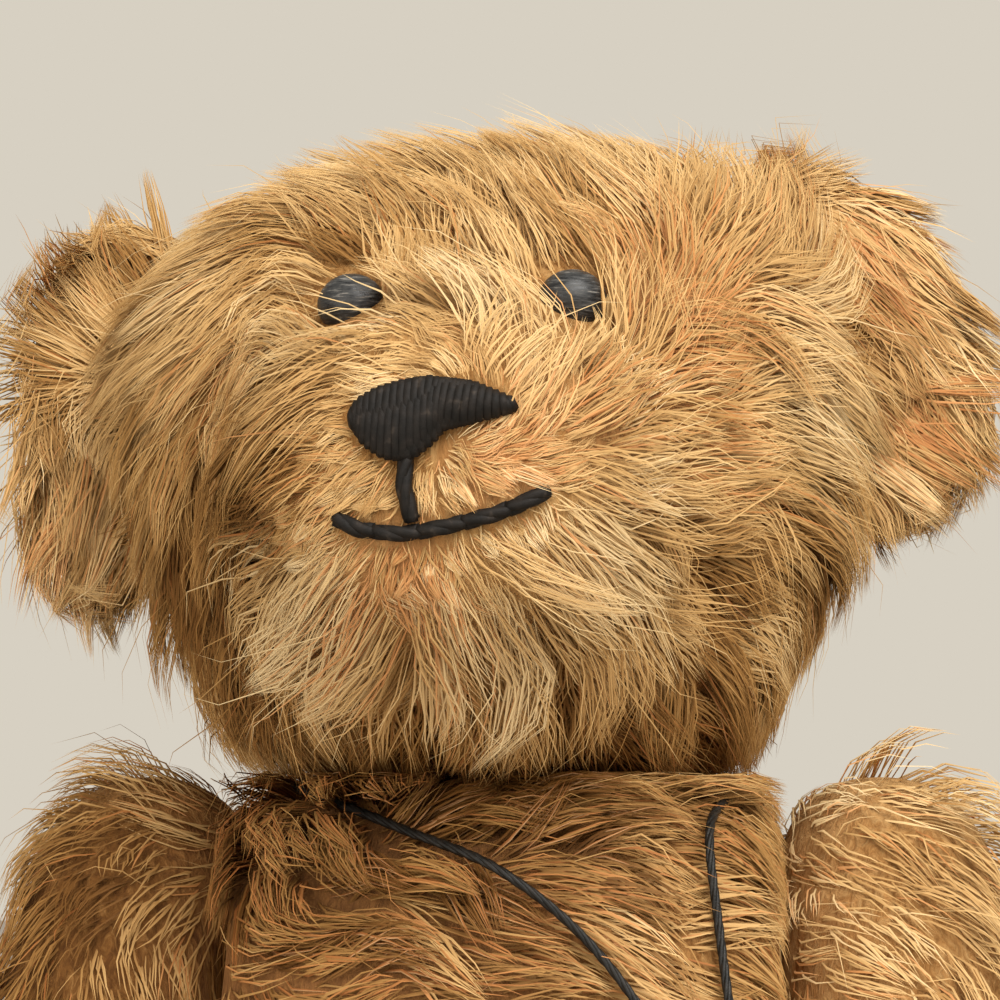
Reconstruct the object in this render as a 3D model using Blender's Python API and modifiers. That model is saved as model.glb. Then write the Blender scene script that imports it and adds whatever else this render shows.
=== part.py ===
"""A seated mohair teddy bear, 0.22 m high, jointed at the neck, shoulders and hips.

Metres, +Z up. The bear faces -Y and sits on z = 0. Each joint is the usual set of a bear maker: two
hardboard discs, two washers, a bolt and a lock nut, held in pockets of the stuffed pieces. The mohair
is modelled as tufts that lean the way the pile is combed.
"""

import math

import bmesh
import bpy
import numpy as np
from mathutils import Euler, Matrix, Vector
from mathutils.bvhtree import BVHTree

# Driving dimensions. Arms and legs turn on flat seams at SIDE_PLANE, on either side of the body.
BODY_AXIS_Y = 0.0299
NECK_HEIGHT = 0.1425
SIDE_PLANE = 0.0330
SHOULDER_HEIGHT = 0.1220
HIP_HEIGHT = 0.0200
ARM_REST_ANGLE = math.radians(30)
LEG_REST_ANGLE = math.radians(90)
HEAD_TILT = math.radians(3)
HEAD_TURN = math.radians(3)
GAP = 0.0003
SIDES = (("right", -1), ("left", 1))

# Pile: the height of a full tuft on each piece, and the height under which the cloth is left bare.
HEAD_PILE = 0.0040
EAR_PILE = 0.0026
BODY_PILE = 0.0034
LIMB_PILE = 0.0032
BARE = 0.0004

# Joint sets.
CLOTH = 0.0015
DISC_THICKNESS = 0.0030
WASHER_THICKNESS = 0.0010
WASHER_RADIUS = 0.0055
BOLT_RADIUS = 0.0020
BOLT_HEAD_HEIGHT = 0.0028
BOLT_TAIL = 0.0010
NUT_HEIGHT = 0.0036
HEX_RADIUS = 0.0040
LIMB_DISC_RADIUS = 0.0095
NECK_DISC_RADIUS = 0.0145

# Neck seam: flat out to the rim, then the jaw rises clear of shoulders and cord.
NECK_RIM = 0.0270
JAW_CLEARANCE = 0.0060
HEAD_REACH = 0.0900

# Face, in the head's frame: its origin is on the neck's axis at the seam.
EYE_RADIUS = 0.0036
EYE_PLACES = {"right": (-0.0108, 0.0558), "left": (0.0146, 0.0544)}
SHANK_RADIUS = 0.0011
SHANK_LENGTH = 0.0050
NOSE_WIDTH = 0.0170
NOSE_SIDE = 0.0004
NOSE_DROP = 0.0086
NOSE_HEIGHT = 0.0411
NOSE_TOP_SHARE = 0.38
NOSE_FOOT_SHARE = 0.62
NOSE_FOOT_LEAN = 0.0028
NOSE_STITCHES = 12
THREAD_RADIUS = 0.0009
MOUTH_HEIGHT = 0.0275
SMILE = (
    (-0.0106, 0.0296),
    (-0.0076, 0.0282),
    (-0.0030, MOUTH_HEIGHT),
    (0.0024, 0.0281),
    (0.0078, 0.0293),
    (0.0124, 0.0312),
)
IN_FRONT = -0.0900

# Ears, in the head's frame.
EAR_PLACES = {"right": (-0.0430, 0.0040, 0.0495), "left": (0.0412, 0.0040, 0.0520)}
EAR_TURN = (math.radians(-4), math.radians(-20), math.radians(14))
EAR_LONG = 0.0250
EAR_WIDE = 0.0200
EAR_THICK = 0.0055
EAR_CUP = 0.0035
EAR_SEAM_ROOM = 0.0007

# Felt pads.
PAD_THICKNESS = 0.0014
PALM_INSET = 0.0085
PALM_CENTRE = (-0.0050, -0.0600)
PALM_SIZE = (0.0200, 0.0400, 0.0520)
PAW_PAD = (0.0085, 0.0105)
SOLE_DROP = 0.1040
SOLE_CENTRE = (0.0180, -0.0120)
SOLE_PAD = (0.0270, 0.0145)

# Neck cord.
CORD_RADIUS = 0.00075
CORD_SPACING = 0.0040
TAIL_SPACING = 0.0020
KNOT_RADIUS = 0.0021

# The cord's route, relative to the body's axis: from the knot up the chest to the bear's right, round
# the back of the neck and down again on its left.
CORD_ROUTE = (
    (0.0253, -0.0406, 0.0865),
    (0.0240, -0.0403, 0.0980),
    (0.0200, -0.0402, 0.1120),
    (0.0115, -0.0383, 0.1240),
    (0.0010, -0.0381, 0.1325),
    (-0.0106, -0.0318, 0.1370),
    (-0.0233, -0.0203, 0.1413),
    (-0.0288, 0.0000, 0.1415),
    (-0.0249, 0.0149, 0.1417),
    (-0.0142, 0.0245, 0.1409),
    (0.0000, 0.0272, 0.1402),
    (0.0142, 0.0245, 0.1409),
    (0.0250, 0.0149, 0.1418),
    (0.0288, 0.0000, 0.1414),
    (0.0267, -0.0166, 0.1404),
    (0.0248, -0.0278, 0.1365),
    (0.0260, -0.0318, 0.1250),
    (0.0278, -0.0358, 0.1110),
    (0.0284, -0.0377, 0.0970),
    (0.0271, -0.0410, 0.0865),
)
KNOT_PLACE = (0.0262, -0.0412, 0.0840)
TAIL_ROUTES = (
    ((0.0255, -0.0412, 0.0835), (0.0245, -0.0422, 0.0790), (0.0225, -0.0428, 0.0740)),
    ((0.0270, -0.0412, 0.0835), (0.0285, -0.0418, 0.0795), (0.0290, -0.0416, 0.0750)),
)

# A finish is a colour, a roughness and how metallic it is.
MOHAIR = ((0.58, 0.36, 0.15), 0.9, 0.0)
FELT = ((0.45, 0.28, 0.14), 0.9, 0.0)
BLACK_THREAD = ((0.012, 0.011, 0.010), 0.55, 0.0)
EYE_GLASS = ((0.02, 0.02, 0.024), 0.15, 0.0)
HARDBOARD = ((0.20, 0.11, 0.05), 0.7, 0.0)
STEEL = ((0.55, 0.55, 0.56), 0.35, 1.0)


def clear_scene():
    for old in list(bpy.data.objects):
        bpy.data.objects.remove(old, do_unlink=True)


def new_collection(name):
    collection = bpy.data.collections.new(name)
    bpy.context.scene.collection.children.link(collection)
    return collection


def material(name, finish):
    colour, roughness, metallic = finish
    made = bpy.data.materials.new(name)
    made.use_nodes = True
    shader = made.node_tree.nodes["Principled BSDF"]
    shader.inputs["Base Color"].default_value = (*colour, 1.0)
    shader.inputs["Roughness"].default_value = roughness
    shader.inputs["Metallic"].default_value = metallic
    return made


def empty(name, parent, location=(0, 0, 0), rotation=(0, 0, 0)):
    made = bpy.data.objects.new(name, None)
    made.location = location
    made.rotation_euler = rotation
    made.parent = parent
    PARTS.objects.link(made)
    return made


def add_part(name, mesh, finish, parent):
    """Links a mesh as one named piece with a material of its own."""
    mesh.materials.clear()
    mesh.materials.append(material(name, finish))
    made = bpy.data.objects.new(name, mesh)
    made.parent = parent
    PARTS.objects.link(made)
    return made


def add_cutter(name, mesh, parent=None):
    made = bpy.data.objects.new(name, mesh)
    made.parent = parent
    made.hide_render = True
    made.display_type = "WIRE"
    CUTTERS.objects.link(made)
    return made


def combine(piece, other, operation):
    boolean = piece.modifiers.new(f"{operation} {other.name}".lower(), "BOOLEAN")
    boolean.operation = operation
    boolean.object = other


def evaluated_mesh(obj):
    """A plain mesh of the object with its modifiers applied; the object itself is removed."""
    bpy.context.view_layer.update()
    graph = bpy.context.evaluated_depsgraph_get()
    mesh = bpy.data.meshes.new_from_object(obj.evaluated_get(graph))
    bpy.data.objects.remove(obj, do_unlink=True)
    return mesh


def mesh_of(bm, name):
    mesh = bpy.data.meshes.new(name)
    bm.to_mesh(mesh)
    bm.free()
    return mesh


def turned(name, profile, segments):
    """A solid turned about Z from a profile of (radius, z) that runs down its outer side."""
    closed = profile[0] == profile[-1]
    bm = bmesh.new()
    corners = [bm.verts.new((radius, 0, z)) for radius, z in (profile[:-1] if closed else profile)]
    if closed:
        corners.append(corners[0])
    for first, second in zip(corners, corners[1:]):
        bm.edges.new((first, second))
    obj = add_cutter(name, mesh_of(bm, name))
    screw = obj.modifiers.new("turn", "SCREW")
    screw.steps = segments
    screw.render_steps = segments
    screw.use_merge_vertices = True
    screw.merge_threshold = 0.00001
    return evaluated_mesh(obj)


def soft_form(name, rings, levels):
    """A closed soft form: a coarse eight-sided cage through oval rings, smoothed by subdivision.

    A ring is (centre, across, up, boxiness, taper): its centre, the two half-axes of its oval as
    vectors, how boxy it is (2 is an oval), and how much narrower it gets towards its lower side.
    """
    sides = 8
    bm = bmesh.new()
    rows = []
    for centre, across, up, boxiness, taper in rings:
        row = []
        for side in range(sides):
            turn = 2 * math.pi * (side + 0.5) / sides
            c, s = math.cos(turn), math.sin(turn)
            v = math.copysign(abs(s) ** (2 / boxiness), s)
            u = math.copysign(abs(c) ** (2 / boxiness), c) * (1 + taper * v)
            row.append(bm.verts.new(Vector(centre) + Vector(across) * u + Vector(up) * v))
        rows.append(row)
    for low, high in zip(rows, rows[1:]):
        join_loops(bm, low, high)
    bm.faces.new(rows[0])
    bm.faces.new(rows[-1])
    bmesh.ops.recalc_face_normals(bm, faces=bm.faces)
    cage = add_cutter(name, mesh_of(bm, name))
    smooth = cage.modifiers.new("smooth", "SUBSURF")
    smooth.levels = levels
    smooth.render_levels = levels
    return evaluated_mesh(cage)


def join_loops(bm, first, second):
    for side in range(len(first)):
        before = side - 1
        bm.faces.new((first[before], first[side], second[side], second[before]))


def trim(mesh, point, normal):
    """Cuts a mesh flat: what lies beyond the plane goes, and the cut is closed with one flat face."""
    bm = bmesh.new()
    bm.from_mesh(mesh)
    everything = bm.verts[:] + bm.edges[:] + bm.faces[:]
    found = bmesh.ops.bisect_plane(
        bm, geom=everything, dist=1e-7, plane_co=point, plane_no=normal, clear_outer=True
    )
    rim = [item for item in found["geom_cut"] if isinstance(item, bmesh.types.BMEdge)]
    if rim:
        bmesh.ops.holes_fill(bm, edges=rim)
    bm.to_mesh(mesh)
    bm.free()


def mirrored(mesh, axis):
    """Mirrors a mesh across the plane through its origin and keeps its faces pointing out."""
    scale = [1, 1, 1]
    scale[axis] = -1
    mesh.transform(Matrix.Diagonal((*scale, 1)))
    mesh.flip_normals()
    return mesh


def smooth_step(value, low, high):
    share = min(max((value - low) / (high - low), 0.0), 1.0)
    return share * share * (3 - 2 * share)


def ruffle(mesh, combing, pile, seed):
    """Raises a leaning, pointed tuft on each face, which reads as worn mohair.

    combing(point) gives the way the pile lies, and pile(point) its length there. The lean stays under
    half a face, so that no tuft reaches over the next one.
    """
    chance = np.random.default_rng(seed)
    bm = bmesh.new()
    bm.from_mesh(mesh)
    bm.normal_update()
    for vert in bm.verts:
        if pile(vert.co) > BARE:
            reach = 0.22 * min(edge.calc_length() for edge in vert.link_edges)
            nudge = Vector(chance.uniform(-1, 1, 3)) * reach
            vert.co += nudge - vert.normal * nudge.dot(vert.normal)
    furry = [face for face in bm.faces if len(face.verts) <= 5 and pile(face.calc_center_median()) > BARE]
    roots = [(face.calc_center_median(), face.normal.copy(), math.sqrt(face.calc_area())) for face in furry]
    tips = bmesh.ops.poke(bm, faces=furry)["verts"]
    for tip, (root, normal, width) in zip(tips, roots):
        along = combing(root)
        along = (along - normal * along.dot(normal)).normalized()
        length = pile(root) * chance.uniform(0.55, 1.15)
        aside = normal.cross(along) * width * chance.uniform(-0.26, 0.26)
        tip.co = root + normal * length + along * width * chance.uniform(0.34, 0.48) + aside
    bm.to_mesh(mesh)
    bm.free()
    return mesh


def surface_of(mesh):
    bm = bmesh.new()
    bm.from_mesh(mesh)
    tree = BVHTree.FromBMesh(bm)
    bm.free()
    return tree


def on_face(surface, x, z):
    """The point of the face that lies straight behind (x, z), and the way out of the cloth there."""
    place, normal, _, _ = surface.ray_cast(Vector((x, IN_FRONT, z)), Vector((0, 1, 0)))
    return place, normal


def spline_through(route, spacing):
    """Evenly spaced points of a smooth curve through the given points."""
    knots = np.array([route[0], *route, route[-1]], dtype=float)
    fine = []
    for index in range(1, len(knots) - 2):
        before, start, end, after = knots[index - 1 : index + 3]
        for t in np.linspace(0, 1, 40, endpoint=False):
            bend = 2 * start + (end - before) * t
            bend = bend + (2 * before - 5 * start + 4 * end - after) * t**2
            fine.append(0.5 * (bend + (3 * start - before - 3 * end + after) * t**3))
    fine = np.array([*fine, knots[-1]])
    lengths = np.concatenate([[0], np.cumsum(np.linalg.norm(np.diff(fine, axis=0), axis=1))])
    places = np.linspace(0, lengths[-1], round(lengths[-1] / spacing) + 1)
    return np.column_stack([np.interp(places, lengths, fine[:, axis]) for axis in range(3)])


def tube(name, points, radius, parent):
    """A round black cord or thread with closed ends, as a curve with a bevel."""
    curve = bpy.data.curves.new(name, "CURVE")
    curve.dimensions = "3D"
    curve.bevel_depth = radius
    curve.bevel_resolution = 2
    curve.use_fill_caps = True
    line = curve.splines.new("POLY")
    line.points.add(len(points) - 1)
    for point, place in zip(line.points, points):
        point.co = (*place, 1)
    curve.materials.append(material(name, BLACK_THREAD))
    made = bpy.data.objects.new(name, curve)
    made.parent = parent
    PARTS.objects.link(made)
    return made


# Joint sets. A set's frame has its Z along the joint's axis, pointing into the limb or the head, and
# its origin on the seam.


def ring(name, outer, low, high, segments):
    """A flat ring round the bolt, such as a disc or a washer."""
    hole = BOLT_RADIUS + GAP
    return turned(name, [(hole, high), (outer, high), (outer, low), (hole, low), (hole, high)], segments)


def joint_pocket(disc_radius, end_height):
    """Room in the stuffing for a disc, a washer and the bolt's end, open to the seam round the bolt."""
    hole = BOLT_RADIUS + GAP
    room = disc_radius + GAP
    far = CLOTH + DISC_THICKNESS + WASHER_THICKNESS + end_height + 4 * GAP
    mouth = -2 * GAP
    profile = [(0, far), (room, far), (room, CLOTH), (hole, CLOTH), (hole, mouth), (0, mouth)]
    return turned("pocket", profile, 16)


def hexagon(name, low, height):
    bm = bmesh.new()
    bmesh.ops.create_cone(bm, cap_ends=True, segments=6, radius1=HEX_RADIUS, radius2=HEX_RADIUS, depth=height)
    bmesh.ops.translate(bm, vec=(0, 0, low + height / 2), verts=bm.verts)
    return add_cutter(name, mesh_of(bm, name))


def shaft(name, radius, low, high):
    return add_cutter(name, turned(name, [(0, high), (radius, high), (radius, low), (0, low)], 12))


def joined_mesh(piece, other, operation):
    """The mesh of two helper solids combined; both helpers are removed."""
    combine(piece, other, operation)
    mesh = evaluated_mesh(piece)
    bpy.data.objects.remove(other, do_unlink=True)
    return mesh


def joint_set(name, limb, limb_frame, body, body_frame, disc_radius):
    """Adds the six pieces of one disc joint and cuts the pockets that hold them."""
    disc = CLOTH + GAP
    washer = disc + DISC_THICKNESS + GAP
    end = washer + WASHER_THICKNESS + GAP
    nut_foot = -end - NUT_HEIGHT
    for where, frame, sense in (("outer", limb_frame, 1), ("inner", body_frame, -1)):
        low, high = sorted((sense * disc, sense * (disc + DISC_THICKNESS)))
        disc_name = f"{name}_disc_{where}"
        add_part(disc_name, ring(disc_name, disc_radius, low, high, 16), HARDBOARD, frame)
        low, high = sorted((sense * washer, sense * (washer + WASHER_THICKNESS)))
        washer_name = f"{name}_washer_{where}"
        add_part(washer_name, ring(washer_name, WASHER_RADIUS, low, high, 12), STEEL, frame)
    head = hexagon("bolt head", end, BOLT_HEAD_HEIGHT)
    shank = shaft("bolt shank", BOLT_RADIUS, nut_foot - BOLT_TAIL, end + BOLT_HEAD_HEIGHT / 2)
    add_part(f"{name}_bolt", joined_mesh(head, shank, "UNION"), STEEL, limb_frame)
    nut = hexagon("nut", nut_foot, NUT_HEIGHT)
    drill = shaft("nut hole", BOLT_RADIUS + GAP, nut_foot - GAP, GAP - end)
    add_part(f"{name}_nut", joined_mesh(nut, drill, "DIFFERENCE"), STEEL, body_frame)
    outer_pocket = joint_pocket(disc_radius, BOLT_HEAD_HEIGHT)
    inner_pocket = mirrored(joint_pocket(disc_radius, NUT_HEIGHT + BOLT_TAIL), 2)
    combine(limb, add_cutter(f"{name} outer pocket", outer_pocket, limb_frame), "DIFFERENCE")
    combine(body, add_cutter(f"{name} inner pocket", inner_pocket, body_frame), "DIFFERENCE")


# Body.


def torso_form():
    sections = (  # z, middle's y, half-width, half-depth, boxiness
        (-0.0070, 0.0000, 0.0310, 0.0260, 2.4),
        (0.0080, -0.0020, 0.0420, 0.0370, 2.6),
        (0.0440, -0.0060, 0.0410, 0.0440, 2.6),
        (0.0880, -0.0060, 0.0400, 0.0430, 2.8),
        (0.1290, -0.0020, 0.0430, 0.0370, 2.8),
        (0.1480, 0.0010, 0.0270, 0.0260, 2.4),
    )
    rings = [((0, y, z), (wide, 0, 0), (0, -deep, 0), boxy, 0.0) for z, y, wide, deep, boxy in sections]
    return soft_form("torso form", rings, 2)


def torso_combing(point):
    """Down the body, and outwards over the chest."""
    spread = 0.35 * math.copysign(1, point.x) * smooth_step(point.z, 0.070, 0.130)
    return Vector((spread, 0.15, -1))


def torso_pile(point):
    """No pile on the seat, on the flat sides that meet arms and legs, or on the neck."""
    seat = smooth_step(point.z, 0.006, 0.014)
    neck = smooth_step(NECK_HEIGHT - point.z, 0.0015, 0.0095)
    side = smooth_step(SIDE_PLANE - abs(point.x), -0.0005, 0.0060)
    return BODY_PILE * seat * neck * side


def add_torso(root):
    mesh = ruffle(torso_form(), torso_combing, torso_pile, 11)
    trim(mesh, (0, 0, 0), (0, 0, -1))
    trim(mesh, (0, 0, NECK_HEIGHT - GAP / 2), (0, 0, 1))
    for _, side in SIDES:
        trim(mesh, (side * (SIDE_PLANE - GAP / 2), 0, 0), (side, 0, 0))
    return add_part("torso", mesh, MOHAIR, root)


# Head.


def head_form(swell=0.0):
    """Skull and muzzle in one: ovals from the muzzle's tip to the back of the head."""
    sections = (  # y, height of the middle, half-width, half-height, boxiness, taper
        (-0.0610, 0.0365, 0.0130, 0.0115, 2.0, 0.0),
        (-0.0570, 0.0355, 0.0215, 0.0190, 2.0, 0.0),
        (-0.0440, 0.0335, 0.0240, 0.0230, 2.0, 0.0),
        (-0.0310, 0.0360, 0.0330, 0.0330, 2.6, 0.10),
        (-0.0180, 0.0375, 0.0432, 0.0405, 3.2, 0.14),
        (0.0080, 0.0365, 0.0460, 0.0430, 3.6, 0.16),
        (0.0290, 0.0365, 0.0405, 0.0400, 3.0, 0.14),
        (0.0410, 0.0365, 0.0250, 0.0230, 2.2, 0.0),
    )
    rings = []
    for y, z, wide, high, boxiness, taper in sections:
        rings.append(((0, y, z), (wide + swell, 0, 0), (0, 0, high + swell), boxiness, taper))
    return soft_form("head form", rings, 2)


def head_combing(point):
    """Back from the nose over the crown, outwards on the cheeks and down under the muzzle."""
    nose_top = Vector((0, -0.058, 0.0435))
    away = (point - nose_top).normalized()
    fall = 0.75 * smooth_step(0.0475 - point.z, -0.010, 0.035)
    return away + Vector((0.10 * math.copysign(1, point.x), 0, -fall))


def head_pile(point):
    """Full pile, but worn short round nose and mouth, and none at the eyes, ear seams and neck."""
    worn = smooth_step((point - Vector((0, -0.060, 0.0375))).length, 0.0135, 0.0240)
    neck = smooth_step(point.z, 0.004, 0.012)
    ears = smooth_step(min(ear_distance(point, *ear) for ear in SIDES), 1.15, 1.50)
    from_eye = min(math.hypot(point.x - x, point.z - z) for x, z in EYE_PLACES.values())
    eyes = smooth_step(from_eye, 0.0055, 0.0090) if point.y < 0 else 1.0
    return HEAD_PILE * worn * neck * ears * eyes


def ear_frame(label, side):
    """The ear's own frame in the head: X outwards, Z up along the seam, Y through its thickness."""
    lean, droop, toe_in = EAR_TURN
    turn = Euler((lean, side * droop, side * toe_in), "XYZ").to_matrix().to_4x4()
    return Matrix.Translation(EAR_PLACES[label]) @ turn


def ear_distance(point, label, side):
    """Distance from the ear's middle in units of its own size: under 1 lies inside the ear."""
    local = ear_frame(label, side).inverted() @ point
    through = (local.y + EAR_CUP) / (EAR_THICK + EAR_CUP)
    return Vector((local.x / EAR_WIDE, through, local.z / EAR_LONG)).length


def ear_mesh(side):
    """A cupped oval leaf of cloth: its rim comes forward, and its lower end droops."""
    sections = ((-1.0, 0.39), (-0.70, 0.86), (0.0, 1.08), (0.70, 0.86), (1.0, 0.39))
    rings = []
    for height, width in sections:
        centre = (0, -0.8 * EAR_CUP * height**2, height * EAR_LONG)
        thick = EAR_THICK * (0.55 + 0.42 * width)
        rings.append((centre, (EAR_WIDE * width, 0, 0), (0, thick, 0), 2.0, 0.0))
    mesh = soft_form("ear form", rings, 1)
    for vert in mesh.vertices:
        vert.co.y -= EAR_CUP * (vert.co.x / EAR_WIDE) ** 2
    hang = Vector((0.7 * side, -0.25, -0.6))
    return ruffle(mesh, lambda point: hang, lambda point: EAR_PILE, 31 + side)


def eye_profile(swell):
    """Outline of an eye and its wire shank, or of the socket round them when swollen."""
    radius = EYE_RADIUS + swell
    shank = SHANK_RADIUS + swell
    end = -EYE_RADIUS - SHANK_LENGTH - swell
    arc = [math.radians(step) for step in range(72, -55, -18)]
    ball = [(radius * math.cos(turn), radius * math.sin(turn)) for turn in arc]
    return [(0, radius), *ball, (shank, -radius), (shank, end), (0, end)]


def add_eye(label, tilt, head, surface):
    """A glass eye on a wire shank, sunk to its middle in the cloth."""
    place, normal = on_face(surface, *EYE_PLACES[label])
    turn = normal.to_track_quat("Z", "Y").to_euler()
    seat = empty(f"{label} eye seat", tilt, place, turn)
    add_part(f"eye_{label}", turned("eye", eye_profile(0), 12), EYE_GLASS, seat)
    socket = add_cutter(f"{label} eye socket", turned("socket", eye_profile(GAP), 12), seat)
    combine(head, socket, "DIFFERENCE")


def nose_outline(turn):
    """The nose from the front: an arched top, and a foot that leans and narrows to the lip stitch."""
    x, z = math.cos(turn), math.sin(turn)
    if z < 0:
        narrowed = 0.5 * NOSE_WIDTH * math.copysign(abs(x) ** 1.9, x)
        return (NOSE_SIDE + narrowed + NOSE_FOOT_LEAN * z, NOSE_FOOT_SHARE * NOSE_DROP * z)
    return (NOSE_SIDE + 0.5 * NOSE_WIDTH * x, NOSE_TOP_SHARE * NOSE_DROP * z**0.8)


def nose_loop(bm, surface, share, lift, ridge):
    """One loop of the nose at a share of its outline, lifted off the cloth and ridged stitch by stitch."""
    steps = 32
    loop = []
    for step in range(steps):
        x, z = nose_outline(2 * math.pi * (step + 0.5) / steps)
        place, normal = on_face(surface, share * x, NOSE_HEIGHT + share * z)
        bulge = ridge * abs(math.sin(math.pi * NOSE_STITCHES * (share * x / NOSE_WIDTH + 0.5)))
        loop.append(bm.verts.new(place + normal * (lift + bulge)))
    return loop


def add_nose(tilt, surface):
    """Satin stitches side by side: a domed pad that follows the muzzle."""
    edge, dome, ridge = 0.0006, 0.0013, 0.0003
    bm = bmesh.new()
    shares = (0.36, 0.72, 1.0)
    back = [nose_loop(bm, surface, share, GAP, 0) for share in shares]
    front = []
    for share in reversed(shares):
        front.append(nose_loop(bm, surface, share, GAP + edge + dome * (1 - share**2), ridge))
    loops = back + front
    for first, second in zip(loops, loops[1:]):
        join_loops(bm, first, second)
    bmesh.ops.poke(bm, faces=[bm.faces.new(loops[0]), bm.faces.new(loops[-1])])
    bmesh.ops.recalc_face_normals(bm, faces=bm.faces)
    add_part("nose_stitching", mesh_of(bm, "nose"), BLACK_THREAD, tilt)


def add_stitch(name, route, tilt, surface):
    """A thread that lies on the muzzle along a route of (x, z)."""
    points = []
    for x, _, z in spline_through([(x, 0, z) for x, z in route], 2 * THREAD_RADIUS):
        place, normal = on_face(surface, x, z)
        points.append(place + normal * (THREAD_RADIUS + GAP))
    tube(name, points, THREAD_RADIUS, tilt)


def add_head(root, torso):
    joint = empty("neck", root, (0, 0, NECK_HEIGHT))
    tilt = empty("head tilt", joint, rotation=(0, -HEAD_TILT, -HEAD_TURN))
    smooth = head_form()
    surface = surface_of(smooth)
    head = add_part("head", ruffle(smooth, head_combing, head_pile, 12), MOHAIR, tilt)
    under = -JAW_CLEARANCE
    jaw = [(0, GAP / 2), (NECK_RIM, GAP / 2), (NECK_RIM + JAW_CLEARANCE, JAW_CLEARANCE)]
    jaw += [(HEAD_REACH, JAW_CLEARANCE), (HEAD_REACH, under), (0, under)]
    combine(head, add_cutter("neck clearance", turned("neck clearance", jaw, 32), joint), "DIFFERENCE")
    for label, side in SIDES:
        add_eye(label, tilt, head, surface)
        ear = add_part(f"ear_{label}", ear_mesh(side), MOHAIR, tilt)
        ear.matrix_local = ear_frame(label, side)
        combine(ear, add_cutter(f"{label} ear seam", head_form(EAR_SEAM_ROOM), tilt), "DIFFERENCE")
    add_nose(tilt, surface)
    lip_top = NOSE_HEIGHT - NOSE_FOOT_SHARE * NOSE_DROP - 2 * GAP
    lip_foot = MOUTH_HEIGHT + 2 * THREAD_RADIUS + GAP
    lip_middle = (lip_top + lip_foot) / 2
    lip_side = NOSE_SIDE - NOSE_FOOT_LEAN
    lip = ((lip_side, lip_top), (lip_side - 0.0004, lip_middle), (lip_side + 0.0004, lip_foot))
    add_stitch("lip_stitch", lip, tilt, surface)
    add_stitch("mouth_stitch", SMILE, tilt, surface)
    neck_seat = empty("neck seat", root, (0, 0, NECK_HEIGHT))
    joint_set("neck", head, joint, torso, neck_seat, NECK_DISC_RADIUS)


# Limbs. Each is built hanging down from its joint on the bear's +X side, and mirrored for the other.


def limb_form(name, sections):
    """A limb from rings of (distance below the joint, middle's x and y, half-width, half-depth)."""
    rings = [((x, y, -down), (wide, 0, 0), (0, -deep, 0), 2.0, 0.0) for down, x, y, wide, deep in sections]
    return soft_form(name, rings, 1)


def arm_form():
    sections = (
        (-0.0200, 0.0120, 0.0000, 0.0090, 0.0110),
        (-0.0140, 0.0130, 0.0000, 0.0150, 0.0180),
        (0.0020, 0.0140, 0.0000, 0.0170, 0.0205),
        (0.0220, 0.0155, -0.0010, 0.0155, 0.0175),
        (0.0400, 0.0175, -0.0020, 0.0140, 0.0150),
        (0.0550, 0.0195, -0.0035, 0.0150, 0.0165),
        (0.0680, 0.0205, -0.0060, 0.0140, 0.0160),
        (0.0740, 0.0205, -0.0070, 0.0080, 0.0090),
    )
    return limb_form("arm form", sections)


def leg_form():
    """Thigh, calf and a foot that points forward from the ankle."""
    sections = (
        (-0.0200, 0.0160, 0.0010, 0.0100, 0.0110),
        (-0.0140, 0.0170, 0.0010, 0.0180, 0.0190),
        (0.0060, 0.0180, 0.0000, 0.0205, 0.0215),
        (0.0320, 0.0180, 0.0020, 0.0190, 0.0195),
        (0.0580, 0.0180, 0.0050, 0.0160, 0.0160),
        (0.0780, 0.0180, 0.0050, 0.0155, 0.0155),
        (0.0900, 0.0180, -0.0080, 0.0175, 0.0270),
        (0.1050, 0.0180, -0.0130, 0.0190, 0.0330),
        (0.1120, 0.0180, -0.0130, 0.0150, 0.0280),
    )
    return limb_form("leg form", sections)


def limb_combing(point):
    return Vector((0.15, 0.10, -1))


def arm_pile(point):
    """Bare on the inner side, and worn short at the end of the paw."""
    outer_side = point.x > 0.0050
    return LIMB_PILE * outer_side * (1 - 0.8 * smooth_step(-point.z, 0.066, 0.074))


def leg_pile(point):
    """Bare on the inner side, where the leg rests on the ground, and on the sole."""
    outer_side = point.x > 0.0050
    under = smooth_step(HIP_HEIGHT - point.y, -0.001, 0.005)
    sole = smooth_step(point.z + SOLE_DROP, 0.002, 0.008)
    return LIMB_PILE * outer_side * under * sole


def limb_mesh(form, pile, seed, side):
    mesh = ruffle(form, limb_combing, pile, seed)
    trim(mesh, (GAP / 2, 0, 0), (-1, 0, 0))
    return mesh if side > 0 else mirrored(mesh, 0)


def oval_pad(name, half_axes, parent, location, rotation):
    """A felt pad: a flat oval outline with its thickness."""
    long, wide = half_axes
    bm = bmesh.new()
    bmesh.ops.create_circle(bm, cap_ends=True, radius=1.0, segments=20)
    bmesh.ops.scale(bm, vec=(wide, long, 1), verts=bm.verts)
    grown = bmesh.ops.extrude_face_region(bm, geom=bm.faces[:])
    raised = [item for item in grown["geom"] if isinstance(item, bmesh.types.BMVert)]
    bmesh.ops.translate(bm, vec=(0, 0, PAD_THICKNESS), verts=raised)
    bmesh.ops.recalc_face_normals(bm, faces=bm.faces)
    pad = add_part(name, mesh_of(bm, name), FELT, parent)
    pad.location = location
    pad.rotation_euler = rotation


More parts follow.
